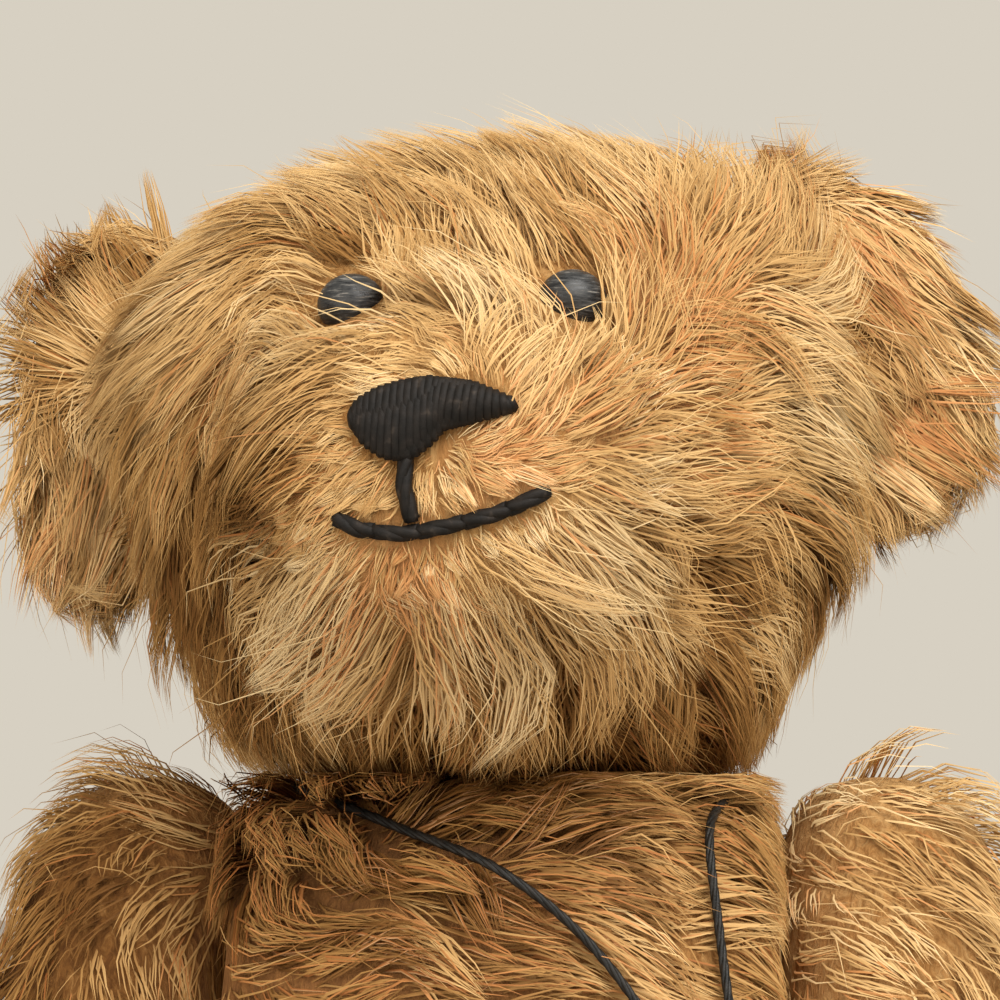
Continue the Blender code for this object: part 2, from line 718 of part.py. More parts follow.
def add_limb(joint_name, place, rest_angle, node, mesh, root, torso):
    """Places a limb on its joint at its rest angle and adds the joint set. Returns limb and joint."""
    joint = empty(joint_name, root, place, (-rest_angle, 0, 0))
    limb = add_part(node, mesh, MOHAIR, joint)
    outwards = (0, math.copysign(math.pi / 2, place[0]), 0)
    limb_frame = empty(f"{joint_name} limb side", joint, rotation=outwards)
    body_frame = empty(f"{joint_name} body side", root, place, outwards)
    joint_set(joint_name, limb, limb_frame, torso, body_frame, LIMB_DISC_RADIUS)
    return limb, joint


def add_arm(label, side, root, torso):
    mesh = limb_mesh(arm_form(), arm_pile, 21, side)
    place = (side * SIDE_PLANE, 0, SHOULDER_HEIGHT)
    arm, joint = add_limb(f"shoulder_{label}", place, ARM_REST_ANGLE, f"arm_{label}", mesh, root, torso)
    y, z = PALM_CENTRE
    width, depth, height = PALM_SIZE
    bm = bmesh.new()
    bmesh.ops.create_cube(bm, size=1.0)
    bmesh.ops.scale(bm, vec=PALM_SIZE, verts=bm.verts)
    bmesh.ops.translate(bm, vec=(side * (PALM_INSET - width / 2), y, z - height / 6), verts=bm.verts)
    combine(arm, add_cutter(f"{label} palm", mesh_of(bm, "palm"), joint), "DIFFERENCE")
    pad_place = (side * (PALM_INSET - GAP), y, z)
    oval_pad(f"paw_pad_{label}", PAW_PAD, joint, pad_place, (0, -side * math.pi / 2, 0))


def add_leg(label, side, root, torso):
    mesh = limb_mesh(leg_form(), leg_pile, 22, side)
    trim(mesh, (0, HIP_HEIGHT, 0), (0, 1, 0))
    trim(mesh, (0, 0, -SOLE_DROP), (0, 0, -1))
    place = (side * SIDE_PLANE, 0, HIP_HEIGHT)
    _, joint = add_limb(f"hip_{label}", place, LEG_REST_ANGLE, f"leg_{label}", mesh, root, torso)
    x, y = SOLE_CENTRE
    oval_pad(f"foot_pad_{label}", SOLE_PAD, joint, (side * x, y, -SOLE_DROP - GAP), (math.pi, 0, 0))


# Neck cord.


def welded_tube_mesh(name, route, parent):
    """A tube as a closed mesh, ready to be joined to another piece."""
    mesh = evaluated_mesh(tube(name, spline_through(route, TAIL_SPACING), CORD_RADIUS, parent))
    bm = bmesh.new()
    bm.from_mesh(mesh)
    bmesh.ops.remove_doubles(bm, verts=bm.verts, dist=1e-6)
    bm.to_mesh(mesh)
    bm.free()
    return mesh


def add_cord(root):
    """A loop of waxed cord round the neck, closed by a knot with two short tails."""
    tube("neck_cord", spline_through(CORD_ROUTE, CORD_SPACING), CORD_RADIUS, root)
    bm = bmesh.new()
    bmesh.ops.create_uvsphere(bm, u_segments=12, v_segments=8, radius=KNOT_RADIUS)
    bmesh.ops.translate(bm, vec=KNOT_PLACE, verts=bm.verts)
    knot = add_part("cord_knot", mesh_of(bm, "cord knot"), BLACK_THREAD, root)
    for index, route in enumerate(TAIL_ROUTES):
        tail = add_cutter(f"cord tail {index}", welded_tube_mesh("cord tail", route, root), root)
        combine(knot, tail, "UNION")


def shade_round():
    for piece in PARTS.objects:
        if piece.type == "MESH":
            piece.data.shade_smooth()
            piece.data.set_sharp_from_angle(angle=math.radians(40))


clear_scene()
PARTS = new_collection("teddy bear")
CUTTERS = new_collection("cutters")
bear = empty("bear", None, (0, BODY_AXIS_Y, 0))
body = add_torso(bear)
add_head(bear, body)
for label, side in SIDES:
    add_arm(label, side, bear, body)
    add_leg(label, side, bear, body)
add_cord(bear)
shade_round()
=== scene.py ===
"""The looks of a threadbare mohair teddy bear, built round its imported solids.

Metres, +Z up. The bear sits on z = 0 and faces -Y; its right is on the -X side.
"""

import math

import bmesh
import bpy
import numpy as np
from mathutils import Euler, Matrix, Vector
from mathutils.bvhtree import BVHTree
from mathutils.kdtree import KDTree


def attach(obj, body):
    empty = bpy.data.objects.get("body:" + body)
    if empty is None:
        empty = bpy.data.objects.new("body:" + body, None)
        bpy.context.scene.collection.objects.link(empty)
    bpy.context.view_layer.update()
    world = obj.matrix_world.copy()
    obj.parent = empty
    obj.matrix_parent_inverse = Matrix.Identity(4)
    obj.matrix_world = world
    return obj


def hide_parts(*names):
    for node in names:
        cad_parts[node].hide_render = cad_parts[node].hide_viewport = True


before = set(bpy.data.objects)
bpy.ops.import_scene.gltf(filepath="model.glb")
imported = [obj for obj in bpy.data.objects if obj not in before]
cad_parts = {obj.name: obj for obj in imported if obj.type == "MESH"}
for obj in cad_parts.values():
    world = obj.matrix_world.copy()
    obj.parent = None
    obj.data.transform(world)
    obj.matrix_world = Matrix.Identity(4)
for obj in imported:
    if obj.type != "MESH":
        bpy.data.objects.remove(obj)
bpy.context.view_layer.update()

# Camera, room and light.
# A close look at the face from just below the eyes, in a plain pale room with soft light from the
# bear's left and above.
FACE_MIDDLE = Vector((-0.0016, 0.0299, 0.1775))
CAMERA_DISTANCE = 0.4700
CAMERA_TURN = math.radians(4)
CAMERA_BELOW = math.radians(4)
FRAMED_WIDTH = 0.1250
LIGHT_AIM = Vector((0, 0, 0.16))
LIGHT_SIZE = 0.90
FLOOR_REACH = 3.0


def new_object(name, data):
    """An object that is in the scene."""
    made = bpy.data.objects.new(name, data)
    bpy.context.scene.collection.objects.link(made)
    return made


def new_finish(name, roughness, specular=0.5):
    """A material, its node tree and its shader."""
    finish = bpy.data.materials.new(name)
    finish.use_nodes = True
    shader = finish.node_tree.nodes["Principled BSDF"]
    shader.inputs["Roughness"].default_value = roughness
    shader.inputs["Specular IOR Level"].default_value = specular
    return finish, finish.node_tree, shader


def feed(tree, node, inputs):
    """Sets a node's inputs: each is a plain value or a socket to link."""
    for name, value in inputs.items():
        if isinstance(value, bpy.types.NodeSocket):
            tree.links.new(value, node.inputs[name])
        else:
            node.inputs[name].default_value = value


def add_node(tree, kind, inputs=(), **settings):
    """A new node with its settings and its inputs."""
    node = tree.nodes.new(kind)
    for name, value in settings.items():
        setattr(node, name, value)
    feed(tree, node, dict(inputs))
    return node


def object_places(tree):
    return add_node(tree, "ShaderNodeTexCoord").outputs["Object"]


def colour_ramp(tree, fac, stops):
    node = add_node(tree, "ShaderNodeValToRGB", {"Fac": fac})
    elements = node.color_ramp.elements
    while len(elements) < len(stops):
        elements.new(0.5)
    for element, (place, colour) in zip(elements, stops):
        element.position = place
        element.color = (*colour, 1)
    return node.outputs["Color"]


bpy.context.scene.view_settings.view_transform = "Standard"
camera = new_object("camera", bpy.data.cameras.new("camera"))
camera.data.lens = camera.data.sensor_width * CAMERA_DISTANCE / FRAMED_WIDTH
camera.data.clip_start = 0.01
level = math.cos(CAMERA_BELOW)
ahead = math.cos(CAMERA_TURN) * level
way = Vector((math.sin(CAMERA_TURN) * level, -ahead, -math.sin(CAMERA_BELOW)))
camera.location = FACE_MIDDLE + way * CAMERA_DISTANCE
camera.rotation_euler = (-way).to_track_quat("-Z", "Y").to_euler()
bpy.context.scene.camera = camera

for name, place, power, colour in (
    ("window", (0.32, -0.52, 0.80), 12.5, (1.0, 0.97, 0.93)),
    ("room", (-0.60, -0.85, 0.25), 5.0, (1.0, 0.94, 0.86)),
):
    lamp = new_object(name, bpy.data.lights.new(name, "AREA"))
    lamp.data.shape = "DISK"
    lamp.data.size = LIGHT_SIZE
    lamp.data.energy = power
    lamp.data.color = colour
    lamp.location = place
    lamp.rotation_euler = (LIGHT_AIM - Vector(place)).to_track_quat("-Z", "Y").to_euler()

world = bpy.data.worlds.new("room light")
bpy.context.scene.world = world
world.use_nodes = True
sky = world.node_tree
lit = sky.nodes["Background"]
feed(sky, lit, {"Color": (0.90, 0.82, 0.72, 1), "Strength": 0.46})
wall = add_node(sky, "ShaderNodeBackground", {"Color": (0.68, 0.63, 0.54, 1)})
seen = add_node(sky, "ShaderNodeLightPath").outputs["Is Camera Ray"]
both = {"Fac": seen, 1: lit.outputs["Background"], 2: wall.outputs["Background"]}
either = add_node(sky, "ShaderNodeMixShader", both)
feed(sky, sky.nodes["World Output"], {"Surface": either.outputs["Shader"]})

bm = bmesh.new()
bmesh.ops.create_grid(bm, x_segments=1, y_segments=1, size=FLOOR_REACH)
table = bpy.data.meshes.new("floor")
bm.to_mesh(table)
bm.free()
# Painted light: the floor is painted paler far off, where the lamps hardly reach, and darker round
# the bear.
painted_light, tree, shader = new_finish("floor paint", 0.9)
spot = object_places(tree)
reach = add_node(tree, "ShaderNodeVectorMath", {0: spot}, operation="LENGTH").outputs["Value"]
stops = ((0.3, (0.48, 0.45, 0.40)), (1.0, (0.92, 0.86, 0.77)))
feed(tree, shader, {"Base Color": colour_ramp(tree, reach, stops)})
table.materials.append(painted_light)
new_object("floor", table)

# Neck cord.
# A thin waxed cord, laid up from four strands. It goes once round the neck over the pile, and is
# closed low on the chest by a small knot with two short tails.
BODY_AXIS_Y = 0.0299
CORD_DIAMETER = 0.0012
CORD_PITCH = 0.0085
CORD_ROUTE = (
    (0.0253, -0.0406, 0.0865),
    (0.0240, -0.0403, 0.0980),
    (0.0200, -0.0402, 0.1120),
    (0.0115, -0.0383, 0.1240),
    (0.0010, -0.0381, 0.1325),
    (-0.0106, -0.0318, 0.1370),
    (-0.0233, -0.0203, 0.1413),
    (-0.0288, 0.0000, 0.1415),
    (-0.0249, 0.0149, 0.1417),
    (-0.0142, 0.0245, 0.1409),
    (0.0000, 0.0272, 0.1402),
    (0.0142, 0.0245, 0.1409),
    (0.0250, 0.0149, 0.1418),
    (0.0288, 0.0000, 0.1414),
    (0.0267, -0.0166, 0.1404),
    (0.0248, -0.0278, 0.1365),
    (0.0260, -0.0318, 0.1250),
    (0.0278, -0.0358, 0.1110),
    (0.0284, -0.0377, 0.0970),
    (0.0271, -0.0410, 0.0865),
)
KNOT_PLACE = Vector((0.0262, -0.0113, 0.0840))
KNOT_RADIUS = 0.0021
TAIL_ROUTES = (
    ((0.0255, -0.0412, 0.0835), (0.0245, -0.0422, 0.0790), (0.0225, -0.0428, 0.0740)),
    ((0.0270, -0.0412, 0.0835), (0.0285, -0.0418, 0.0795), (0.0290, -0.0416, 0.0750)),
)


def spline_through(route, spacing):
    """Evenly spaced points of a smooth curve through the given points."""
    knots = np.array([route[0], *route, route[-1]], dtype=float)
    fine = []
    for index in range(1, len(knots) - 2):
        before, start, end, after = knots[index - 1 : index + 3]
        for t in np.linspace(0, 1, 40, endpoint=False):
            turn = 2 * start + (end - before) * t
            turn = turn + (2 * before - 5 * start + 4 * end - after) * t**2
            fine.append(0.5 * (turn + (3 * start - before - 3 * end + after) * t**3))
    fine = np.array([*fine, knots[-1]])
    lengths = np.concatenate([[0], np.cumsum(np.linalg.norm(np.diff(fine, axis=0), axis=1))])
    places = np.linspace(0, lengths[-1], round(lengths[-1] / spacing) + 1)
    return np.column_stack([np.interp(places, lengths, fine[:, axis]) for axis in range(3)])


def unit(vectors):
    return vectors / np.maximum(np.linalg.norm(vectors, axis=-1, keepdims=True), 1e-12)


def laid_thread(name, routes, diameter, strands, pitch, fatness=1.0):
    """A mesh of twisted strands along each of the given rows of points."""
    curve = bpy.data.curves.new(name, "CURVE")
    curve.dimensions = "3D"
    strand_radius = 0.5 * diameter / (1 + 1 / math.sin(math.pi / strands)) * fatness
    curve.bevel_depth = strand_radius
    curve.bevel_resolution = 1
    curve.use_fill_caps = True
    for points in routes:
        along = unit(np.gradient(points, axis=0))
        aside = np.cross(along[0], (0.3, 0.5, 0.8))
        frames = []
        for way in along:
            aside = unit(aside - way * np.dot(aside, way))
            frames.append((aside, np.cross(way, aside)))
        run = np.concatenate([[0], np.cumsum(np.linalg.norm(np.diff(points, axis=0), axis=1))])
        for strand in range(strands):
            line = curve.splines.new("POLY")
            line.points.add(len(points) - 1)
            for knot, point, (aside, across), length in zip(line.points, points, frames, run):
                turn = 2 * math.pi * (length / pitch + strand / strands)
                away = aside * math.cos(turn) + across * math.sin(turn)
                knot.co = (*(point + away * (0.5 * diameter - strand_radius)), 1)
    mesh = evaluated_mesh(new_object(name, curve))
    bm = bmesh.new()
    bm.from_mesh(mesh)
    bmesh.ops.remove_doubles(bm, verts=bm.verts, dist=1e-6)
    bmesh.ops.recalc_face_normals(bm, faces=bm.faces)
    bm.to_mesh(mesh)
    bm.free()
    mesh.shade_smooth()
    return mesh


def evaluated_mesh(made):
    """A plain mesh of the object with its modifiers applied; the object itself is removed."""
    bpy.context.view_layer.update()
    graph = bpy.context.evaluated_depsgraph_get()
    mesh = bpy.data.meshes.new_from_object(made.evaluated_get(graph))
    bpy.data.objects.remove(made, do_unlink=True)
    return mesh


def piece(name, mesh, finish, body, slot, *nodes):
    """Adds a finished piece that rides on a body, and hides the nodes that it stands for."""
    mesh.materials.clear()
    mesh.materials.append(finish)
    made = new_object(name, mesh)
    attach(made, body)
    if nodes:
        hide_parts(*nodes)
    return made


dusty_fibres = bpy.data.node_groups.new("dusty fibres", "ShaderNodeTree")
for name, way, kind in (
    ("Position", "INPUT", "Vector"),
    ("Dust Scale", "INPUT", "Float"),
    ("Fibre Scale", "INPUT", "Float"),
    ("Fibre Depth", "INPUT", "Float"),
    ("Dust", "OUTPUT", "Float"),
    ("Normal", "OUTPUT", "Vector"),
):
    dusty_fibres.interface.new_socket(name, in_out=way, socket_type=f"NodeSocket{kind}")
given = add_node(dusty_fibres, "NodeGroupInput").outputs
settled = {"Vector": given["Position"], "Scale": given["Dust Scale"], "Detail": 5.0}
dust = add_node(dusty_fibres, "ShaderNodeTexNoise", settled).outputs["Fac"]
spun = {"Vector": given["Position"], "Scale": given["Fibre Scale"]}
spun = add_node(dusty_fibres, "ShaderNodeTexNoise", {**spun, "Detail": 3.0, "Distortion": 1.0})
raised = {"Height": spun.outputs["Fac"], "Distance": given["Fibre Depth"], "Strength": 0.5}
raised = add_node(dusty_fibres, "ShaderNodeBump", raised).outputs["Normal"]
add_node(dusty_fibres, "NodeGroupOutput", {"Dust": dust, "Normal": raised})


def fibrous(name, roughness, specular, sizes, stops):
    """A dusty thread or felt: sizes are the dust's scale, the fibres' scale and their depth."""
    finish, tree, shader = new_finish(name, roughness, specular)
    names = ("Position", "Dust Scale", "Fibre Scale", "Fibre Depth")
    inputs = dict(zip(names, (object_places(tree), *sizes)))
    look = add_node(tree, "ShaderNodeGroup", inputs, node_tree=dusty_fibres)
    dusty = colour_ramp(tree, look.outputs["Dust"], stops)
    feed(tree, shader, {"Base Color": dusty, "Normal": look.outputs["Normal"]})
    return finish


stops = ((0.35, (0.005, 0.005, 0.004)), (0.75, (0.020, 0.017, 0.014)))
wax = fibrous("waxed cord", 0.42, 0.3, (900.0, 5000.0, 0.0001), stops)

axis_shift = np.array((0, BODY_AXIS_Y, 0))
cord_path = spline_through(CORD_ROUTE, 0.0010) + axis_shift
laid = laid_thread("neck_cord_laid", [cord_path], CORD_DIAMETER, 4, CORD_PITCH, fatness=1.35)
cord = piece("neck_cord_laid", laid, wax, "torso", "waxed_cord", "neck_cord")

tangle = []
for turn in np.linspace(0, 2 * math.pi, 61):
    across = math.sin(turn) + 2 * math.sin(2 * turn)
    along = math.cos(turn) - 2 * math.cos(2 * turn)
    loop = Vector((across, -1.1 * math.sin(3 * turn), along))
    tangle.append(KNOT_PLACE + loop * (KNOT_RADIUS - 0.3 * CORD_DIAMETER) / 3.2)
tails = [spline_through(route, 0.0008) + axis_shift for route in TAIL_ROUTES]
routes = [np.array(tangle), *tails]
tied = laid_thread("cord_knot_tied", routes, CORD_DIAMETER, 4, CORD_PITCH, fatness=1.22)
knot = piece("cord_knot_tied", tied, wax, "torso", "waxed_cord", "cord_knot")

# Head cloth.
# The woven backing of the mohair, sewn to a skull and muzzle shape and stuffed hard. It shows only
# where the pile has worn away, and it is closed at the neck by the joint's gathered seam.
NECK_HEIGHT = 0.1425
GAP = 0.0003
NECK_RIM = 0.0270
JAW_CLEARANCE = 0.0060
HEAD_FRAME = Matrix.Translation((0, BODY_AXIS_Y, NECK_HEIGHT))
HEAD_FRAME @= Euler((0, -math.radians(3), -math.radians(3))).to_matrix().to_4x4()
HEAD_SECTIONS = (  # y, height of the middle, half-width, half-height, boxiness, taper
    (-0.0610, 0.0365, 0.0130, 0.0115, 2.0, 0.0),
    (-0.0570, 0.0355, 0.0215, 0.0190, 2.0, 0.0),
    (-0.0440, 0.0335, 0.0240, 0.0230, 2.0, 0.0),
    (-0.0310, 0.0360, 0.0330, 0.0330, 2.6, 0.10),
    (-0.0180, 0.0375, 0.0432, 0.0405, 3.2, 0.14),
    (0.0080, 0.0365, 0.0460, 0.0430, 3.6, 0.16),
    (0.0290, 0.0365, 0.0405, 0.0400, 3.0, 0.14),
    (0.0410, 0.0365, 0.0250, 0.0230, 2.2, 0.0),
)


def settled_mesh(name, bm):
    """The mesh of a bmesh, which is freed. Operators leave faces in no fixed order: sort them."""
    bm.verts.index_update()
    faces = [[vert.index for vert in face.verts] for face in bm.faces]
    faces = sorted(face[face.index(min(face)) :] + face[: face.index(min(face))] for face in faces)
    mesh = bpy.data.meshes.new(name)
    mesh.from_pydata([vert.co for vert in bm.verts], [], faces)
    bm.free()
    return mesh


def stuffed_form(name, rings, levels):
    """A closed soft form: a coarse eight-sided cage through oval rings, smoothed by subdivision.

    A ring is (centre, across, up, boxiness, taper): its centre, the two half-axes of its oval as
    vectors, how boxy it is (2 is an oval), and how much narrower it gets towards its lower side.
    """
    bm = bmesh.new()
    bmesh.ops.create_circle(bm, cap_ends=True, radius=1, segments=8)
    bmesh.ops.rotate(bm, verts=bm.verts, matrix=Matrix.Rotation(math.pi / 8, 3, "Z"))
    rim = bm.edges[:]
    for _ in rings[1:]:
        grown = bmesh.ops.extrude_edge_only(bm, edges=rim)["geom"]
        rim = [item for item in grown if isinstance(item, bmesh.types.BMEdge)]
        raised = [item for item in grown if isinstance(item, bmesh.types.BMVert)]
        bmesh.ops.translate(bm, vec=(0, 0, 1), verts=raised)
    bmesh.ops.contextual_create(bm, geom=rim)
    for vert in bm.verts:
        centre, across, up, boxiness, taper = rings[round(vert.co.z)]
        u, v = (math.copysign(abs(value) ** (2 / boxiness), value) for value in vert.co.xy)
        vert.co = Vector(centre) + Vector(across) * u * (1 + taper * v) + Vector(up) * v
    bm.normal_update()
    bmesh.ops.recalc_face_normals(bm, faces=bm.faces)
    made = new_object(name, settled_mesh(name, bm))
    smooth = made.modifiers.new("smooth", "SUBSURF")
    smooth.levels = levels
    smooth.render_levels = levels
    mesh = evaluated_mesh(made)
    mesh.shade_smooth()
    return mesh


def places_of(mesh):
    places = np.empty(len(mesh.vertices) * 3)
    mesh.vertices.foreach_get("co", places)
    return places.reshape(-1, 3)


def surface_of(mesh):
    bm = bmesh.new()
    bm.from_mesh(mesh)
    tree = BVHTree.FromBMesh(bm)
    bm.free()
    return tree


def smooth_step(value, low, high):
    share = np.clip((value - low) / (high - low), 0, 1)
    return share * share * (3 - 2 * share)


backing, tree, shader = new_finish("mohair backing cloth", 0.92, 0.15)
# The cloth's colour follows the pile's tone, so the pile's painted light and shade show on it too.
pile_tone, pile_rust = (
    add_node(tree, "ShaderNodeAttribute", attribute_name=name).outputs["Fac"]
    for name in ("pile_tone", "pile_rust")
)
drawn = {"Vector": object_places(tree), "Scale": (1.0, 1.0, 0.30)}
drawn = add_node(tree, "ShaderNodeMapping", drawn).outputs["Vector"]
clouds = {"Vector": drawn, "Scale": 700.0, "Detail": 6.0, "Roughness": 0.65, "Distortion": 1.2}
cloudy = add_node(tree, "ShaderNodeTexNoise", clouds).outputs["Fac"]
reach = {"Value": cloudy, "From Min": 0.25, "From Max": 0.75, "To Min": -0.32, "To Max": 0.36}
swing = add_node(tree, "ShaderNodeMapRange", reach).outputs["Result"]
mottled = add_node(tree, "ShaderNodeMath", {0: pile_tone, 1: swing}, operation="ADD")
stops = (
    (0.05, (0.07, 0.022, 0.004)),
    (0.35, (0.20, 0.085, 0.020)),
    (0.60, (0.38, 0.195, 0.062)),
    (0.90, (0.55, 0.33, 0.13)),
)
golden = colour_ramp(tree, mottled.outputs["Value"], stops)
worn = {"Factor": pile_rust, "A": golden, "B": (0.56, 0.27, 0.105, 1)}
rubbed = add_node(tree, "ShaderNodeMix", worn, data_type="RGBA")
bump = add_node(tree, "ShaderNodeBump", {"Height": cloudy, "Strength": 0.9, "Distance": 0.0012})
feed(tree, shader, {"Base Color": rubbed.outputs["Result"], "Normal": bump.outputs["Normal"]})

head_rings = [
    ((0, y, z), (wide, 0, 0), (0, 0, high), boxiness, taper)
    for y, z, wide, high, boxiness, taper in HEAD_SECTIONS
]
head_cloth = stuffed_form("head_cloth", head_rings, 3)
head_front = surface_of(head_cloth)
head_cloth.transform(HEAD_FRAME)
for vert in head_cloth.vertices:
    out = math.hypot(vert.co.x, vert.co.y - BODY_AXIS_Y)
    floor = NECK_HEIGHT + min(max(out - NECK_RIM, GAP / 2), JAW_CLEARANCE)
    vert.co.z = max(vert.co.z, floor)
head = piece("head_cloth", head_cloth, backing, "head", "mohair", "head")

# Mohair pile.
# Tapered locks of goat hair woven into the backing. They lie the way they have been stroked and
# slept on, draw together in points, and are long on the head and worn short on muzzle and limbs.
ROOT_DEPTH = 0.0004
MINGLING = 0.0013
GOLDEN_TONES = 18
RUST_TONES = 6
TONES = GOLDEN_TONES + RUST_TONES
COAT_SOFTNESS = 0.75
LIGHT_THROUGH_PILE = (0.0, -0.06, 0.26)
COMB_REACH = 0.0060
CLUMP_REACH = 0.0052
WILD_SHARE = 0.04


def comb_field(strokes, background, reach=COMB_REACH):
    """The way the pile lies: strokes are rows of a place in mm and a direction in hundredths."""
    rows = np.array(strokes, dtype=float)
    places, ways = rows[:, :3] / 1000, rows[:, 3:] / 100

    def combing(points):
        apart = ((points[:, None] - places[None]) ** 2).sum(axis=2)
        weight = np.exp(-apart / (2 * reach**2))
        return weight @ ways + 0.03 * background(points)

    return combing


def near(points, place, radius):
    """How near points are to a place in mm: 1 there, and fading over a radius in mm."""
    apart = np.linalg.norm(points * 1000 - place, axis=1)
    return np.exp(-0.5 * (apart / radius) ** 2)


def scatter(mesh, cover, count, chance):
    """Random roots on a cloth, by how well the pile covers it, with the cloth's normals there."""
    mesh.calc_loop_triangles()
    corners = np.empty(len(mesh.loop_triangles) * 3, dtype=np.int32)
    mesh.loop_triangles.foreach_get("vertices", corners)
    corners = corners.reshape(-1, 3)
    normals = np.empty(len(mesh.vertices) * 3)
    mesh.vertex_normals.foreach_get("vector", normals)
    normals = normals.reshape(-1, 3)[corners]
    triangles = places_of(mesh)[corners]
    sides = triangles[:, 1:] - triangles[:, :1]
    area = np.linalg.norm(np.cross(sides[:, 0], sides[:, 1]), axis=1)
    share = area * cover(triangles.mean(axis=1))
    picked = chance.choice(len(share), count, p=share / share.sum())
    mix = chance.dirichlet((1, 1, 1), count)[..., None]
    return (triangles[picked] * mix).sum(axis=1), unit((normals[picked] * mix).sum(axis=1))


def nearest_of(points, centres):
    tree = KDTree(len(centres))
    for index, centre in enumerate(centres):
        tree.insert(centre, index)
    tree.balance()
    return np.array([tree.find(point)[1] for point in points])


def on_cloth(surface, points):
    found = [surface.find_nearest(point) for point in points]
    return np.array([hit[0] for hit in found]), np.array([hit[1] for hit in found])


def lay_pile(mesh, combing, coat, count, steps, seed, clump=34):
    """Lays locks over a cloth: their paths, the way out of the cloth along them, widths and tones.

    coat(points) gives cover, length, loft, width, tone and rust at each point. Mohair is stiff, so
    a lock runs straight on where the cloth turns away under it.
    """
    for name, values in zip(("pile_tone", "pile_rust"), coat(places_of(mesh))[4:]):
        layer = mesh.attributes.get(name) or mesh.attributes.new(name, "FLOAT", "POINT")
        layer.data.foreach_set("value", values)
    chance = np.random.default_rng(seed)
    roots, out = scatter(mesh, lambda points: coat(points)[0], count, chance)
    _, length, loft, width, tone, rust = coat(roots)
    parents = roots[chance.choice(count, max(count // clump, 1), replace=False)]
    group = nearest_of(roots, parents)
    leader = nearest_of(parents, roots)
    strayed = np.linalg.norm(roots - parents[group], axis=1) / CLUMP_REACH

    def own(spread):
        return chance.normal(0, spread, count)

    def shared(spread):
        return chance.normal(0, spread, len(parents))[group]

    wild = chance.random(count) < WILD_SHARE
    turn = own(0.10) + shared(0.27) + own(0.35) * wild
    length = length * np.clip(1 + own(0.16) + shared(0.14), 0.45, 1.5)
    loft = loft * np.clip(1 + own(0.20) + shared(0.42), 0.25, 2.1) * (1 + 0.9 * wild)
    tone = np.clip(tone + own(0.05) + shared(0.12) + 0.12 * wild, 0.02, 0.98)
    rusty = chance.random(count) < rust
    golden = np.floor(tone * GOLDEN_TONES)
    column = np.where(rusty, GOLDEN_TONES + np.floor(tone * RUST_TONES), golden)
    phase = chance.uniform(0, 2 * math.pi, count)
    surface = surface_of(mesh)
    paths = np.empty((count, steps + 1, 3))
    outs = np.empty((count, steps + 1, 3))
    paths[:, 0] = roots - out * ROOT_DEPTH
    outs[:, 0] = out
    first_out = out
    heading = None
    foot = roots
    for step in range(1, steps + 1):
        share = step / steps
        raw = unit(combing(foot))
        rise = (raw * out).sum(axis=1)
        lie = unit(raw - out * rise[:, None])
        bend = turn + 0.20 * np.sin(phase + 4.5 * share)
        lie = lie * np.cos(bend)[:, None] + np.cross(out, lie) * np.sin(bend)[:, None]
        stride = (length / steps)[:, None]
        foot, out = on_cloth(surface, foot + lie * stride)
        stand = loft * (1 - (1 - share) ** 2.0) + np.clip(rise, 0, 1) * length * 0.35 * share**1.5
        laid = foot + out * stand[:, None]
        if heading is not None:
            turned = 1 - (out * first_out).sum(axis=1)
            away = smooth_step(turned, 0.10, 0.45) * (((out - first_out) * lie).sum(axis=1) > 0)
            straight = paths[:, step - 1] + unit(heading + (0, 0, -0.12)) * stride
            laid += (straight - laid) * away[:, None]
            outs[:, step] = unit(out + (outs[:, step - 1] - out) * away[:, None])
        else:
            outs[:, step] = out
        paths[:, step] = laid
        heading = unit(paths[:, step] - paths[:, step - 1])
    pull = np.clip(0.74 + shared(0.14), 0.1, 0.92) * np.where(wild, 0.3, 1) * np.exp(-(strayed**2))
    for step in range(1, steps + 1):
        ahead = paths[leader, step][group]
        paths[:, step] += (ahead - paths[:, step]) * (pull * (step / steps) ** 1.3)[:, None]
    width = width * np.clip(1 + own(0.22), 0.55, 1.6) * np.where(wild, 0.65, 1)
    return paths, outs, width, column


def lock_shape(steps):
    """One closed, pointed, three-sided lock, a unit long for each step, as vertices and faces."""
    bm = bmesh.new()
    bmesh.ops.create_cone(bm, cap_ends=True, segments=3, radius1=1, radius2=0, depth=steps)
    bmesh.ops.translate(bm, vec=(0, 0, steps / 2), verts=bm.verts)
    bmesh.ops.remove_doubles(bm, verts=bm.verts, dist=1e-5)
    for level in range(1, steps):
        everything = bm.verts[:] + bm.edges[:] + bm.faces[:]
        bmesh.ops.bisect_plane(bm, geom=everything, plane_co=(0, 0, level), plane_no=(0, 0, 1))
    bmesh.ops.triangulate(bm, faces=bm.faces)
    bmesh.ops.recalc_face_normals(bm, faces=bm.faces)
    bm.verts.index_update()
    places = np.array([vert.co for vert in bm.verts])
    faces = np.array([[vert.index for vert in face.verts] for face in bm.faces])
    bm.free()
    return places, faces


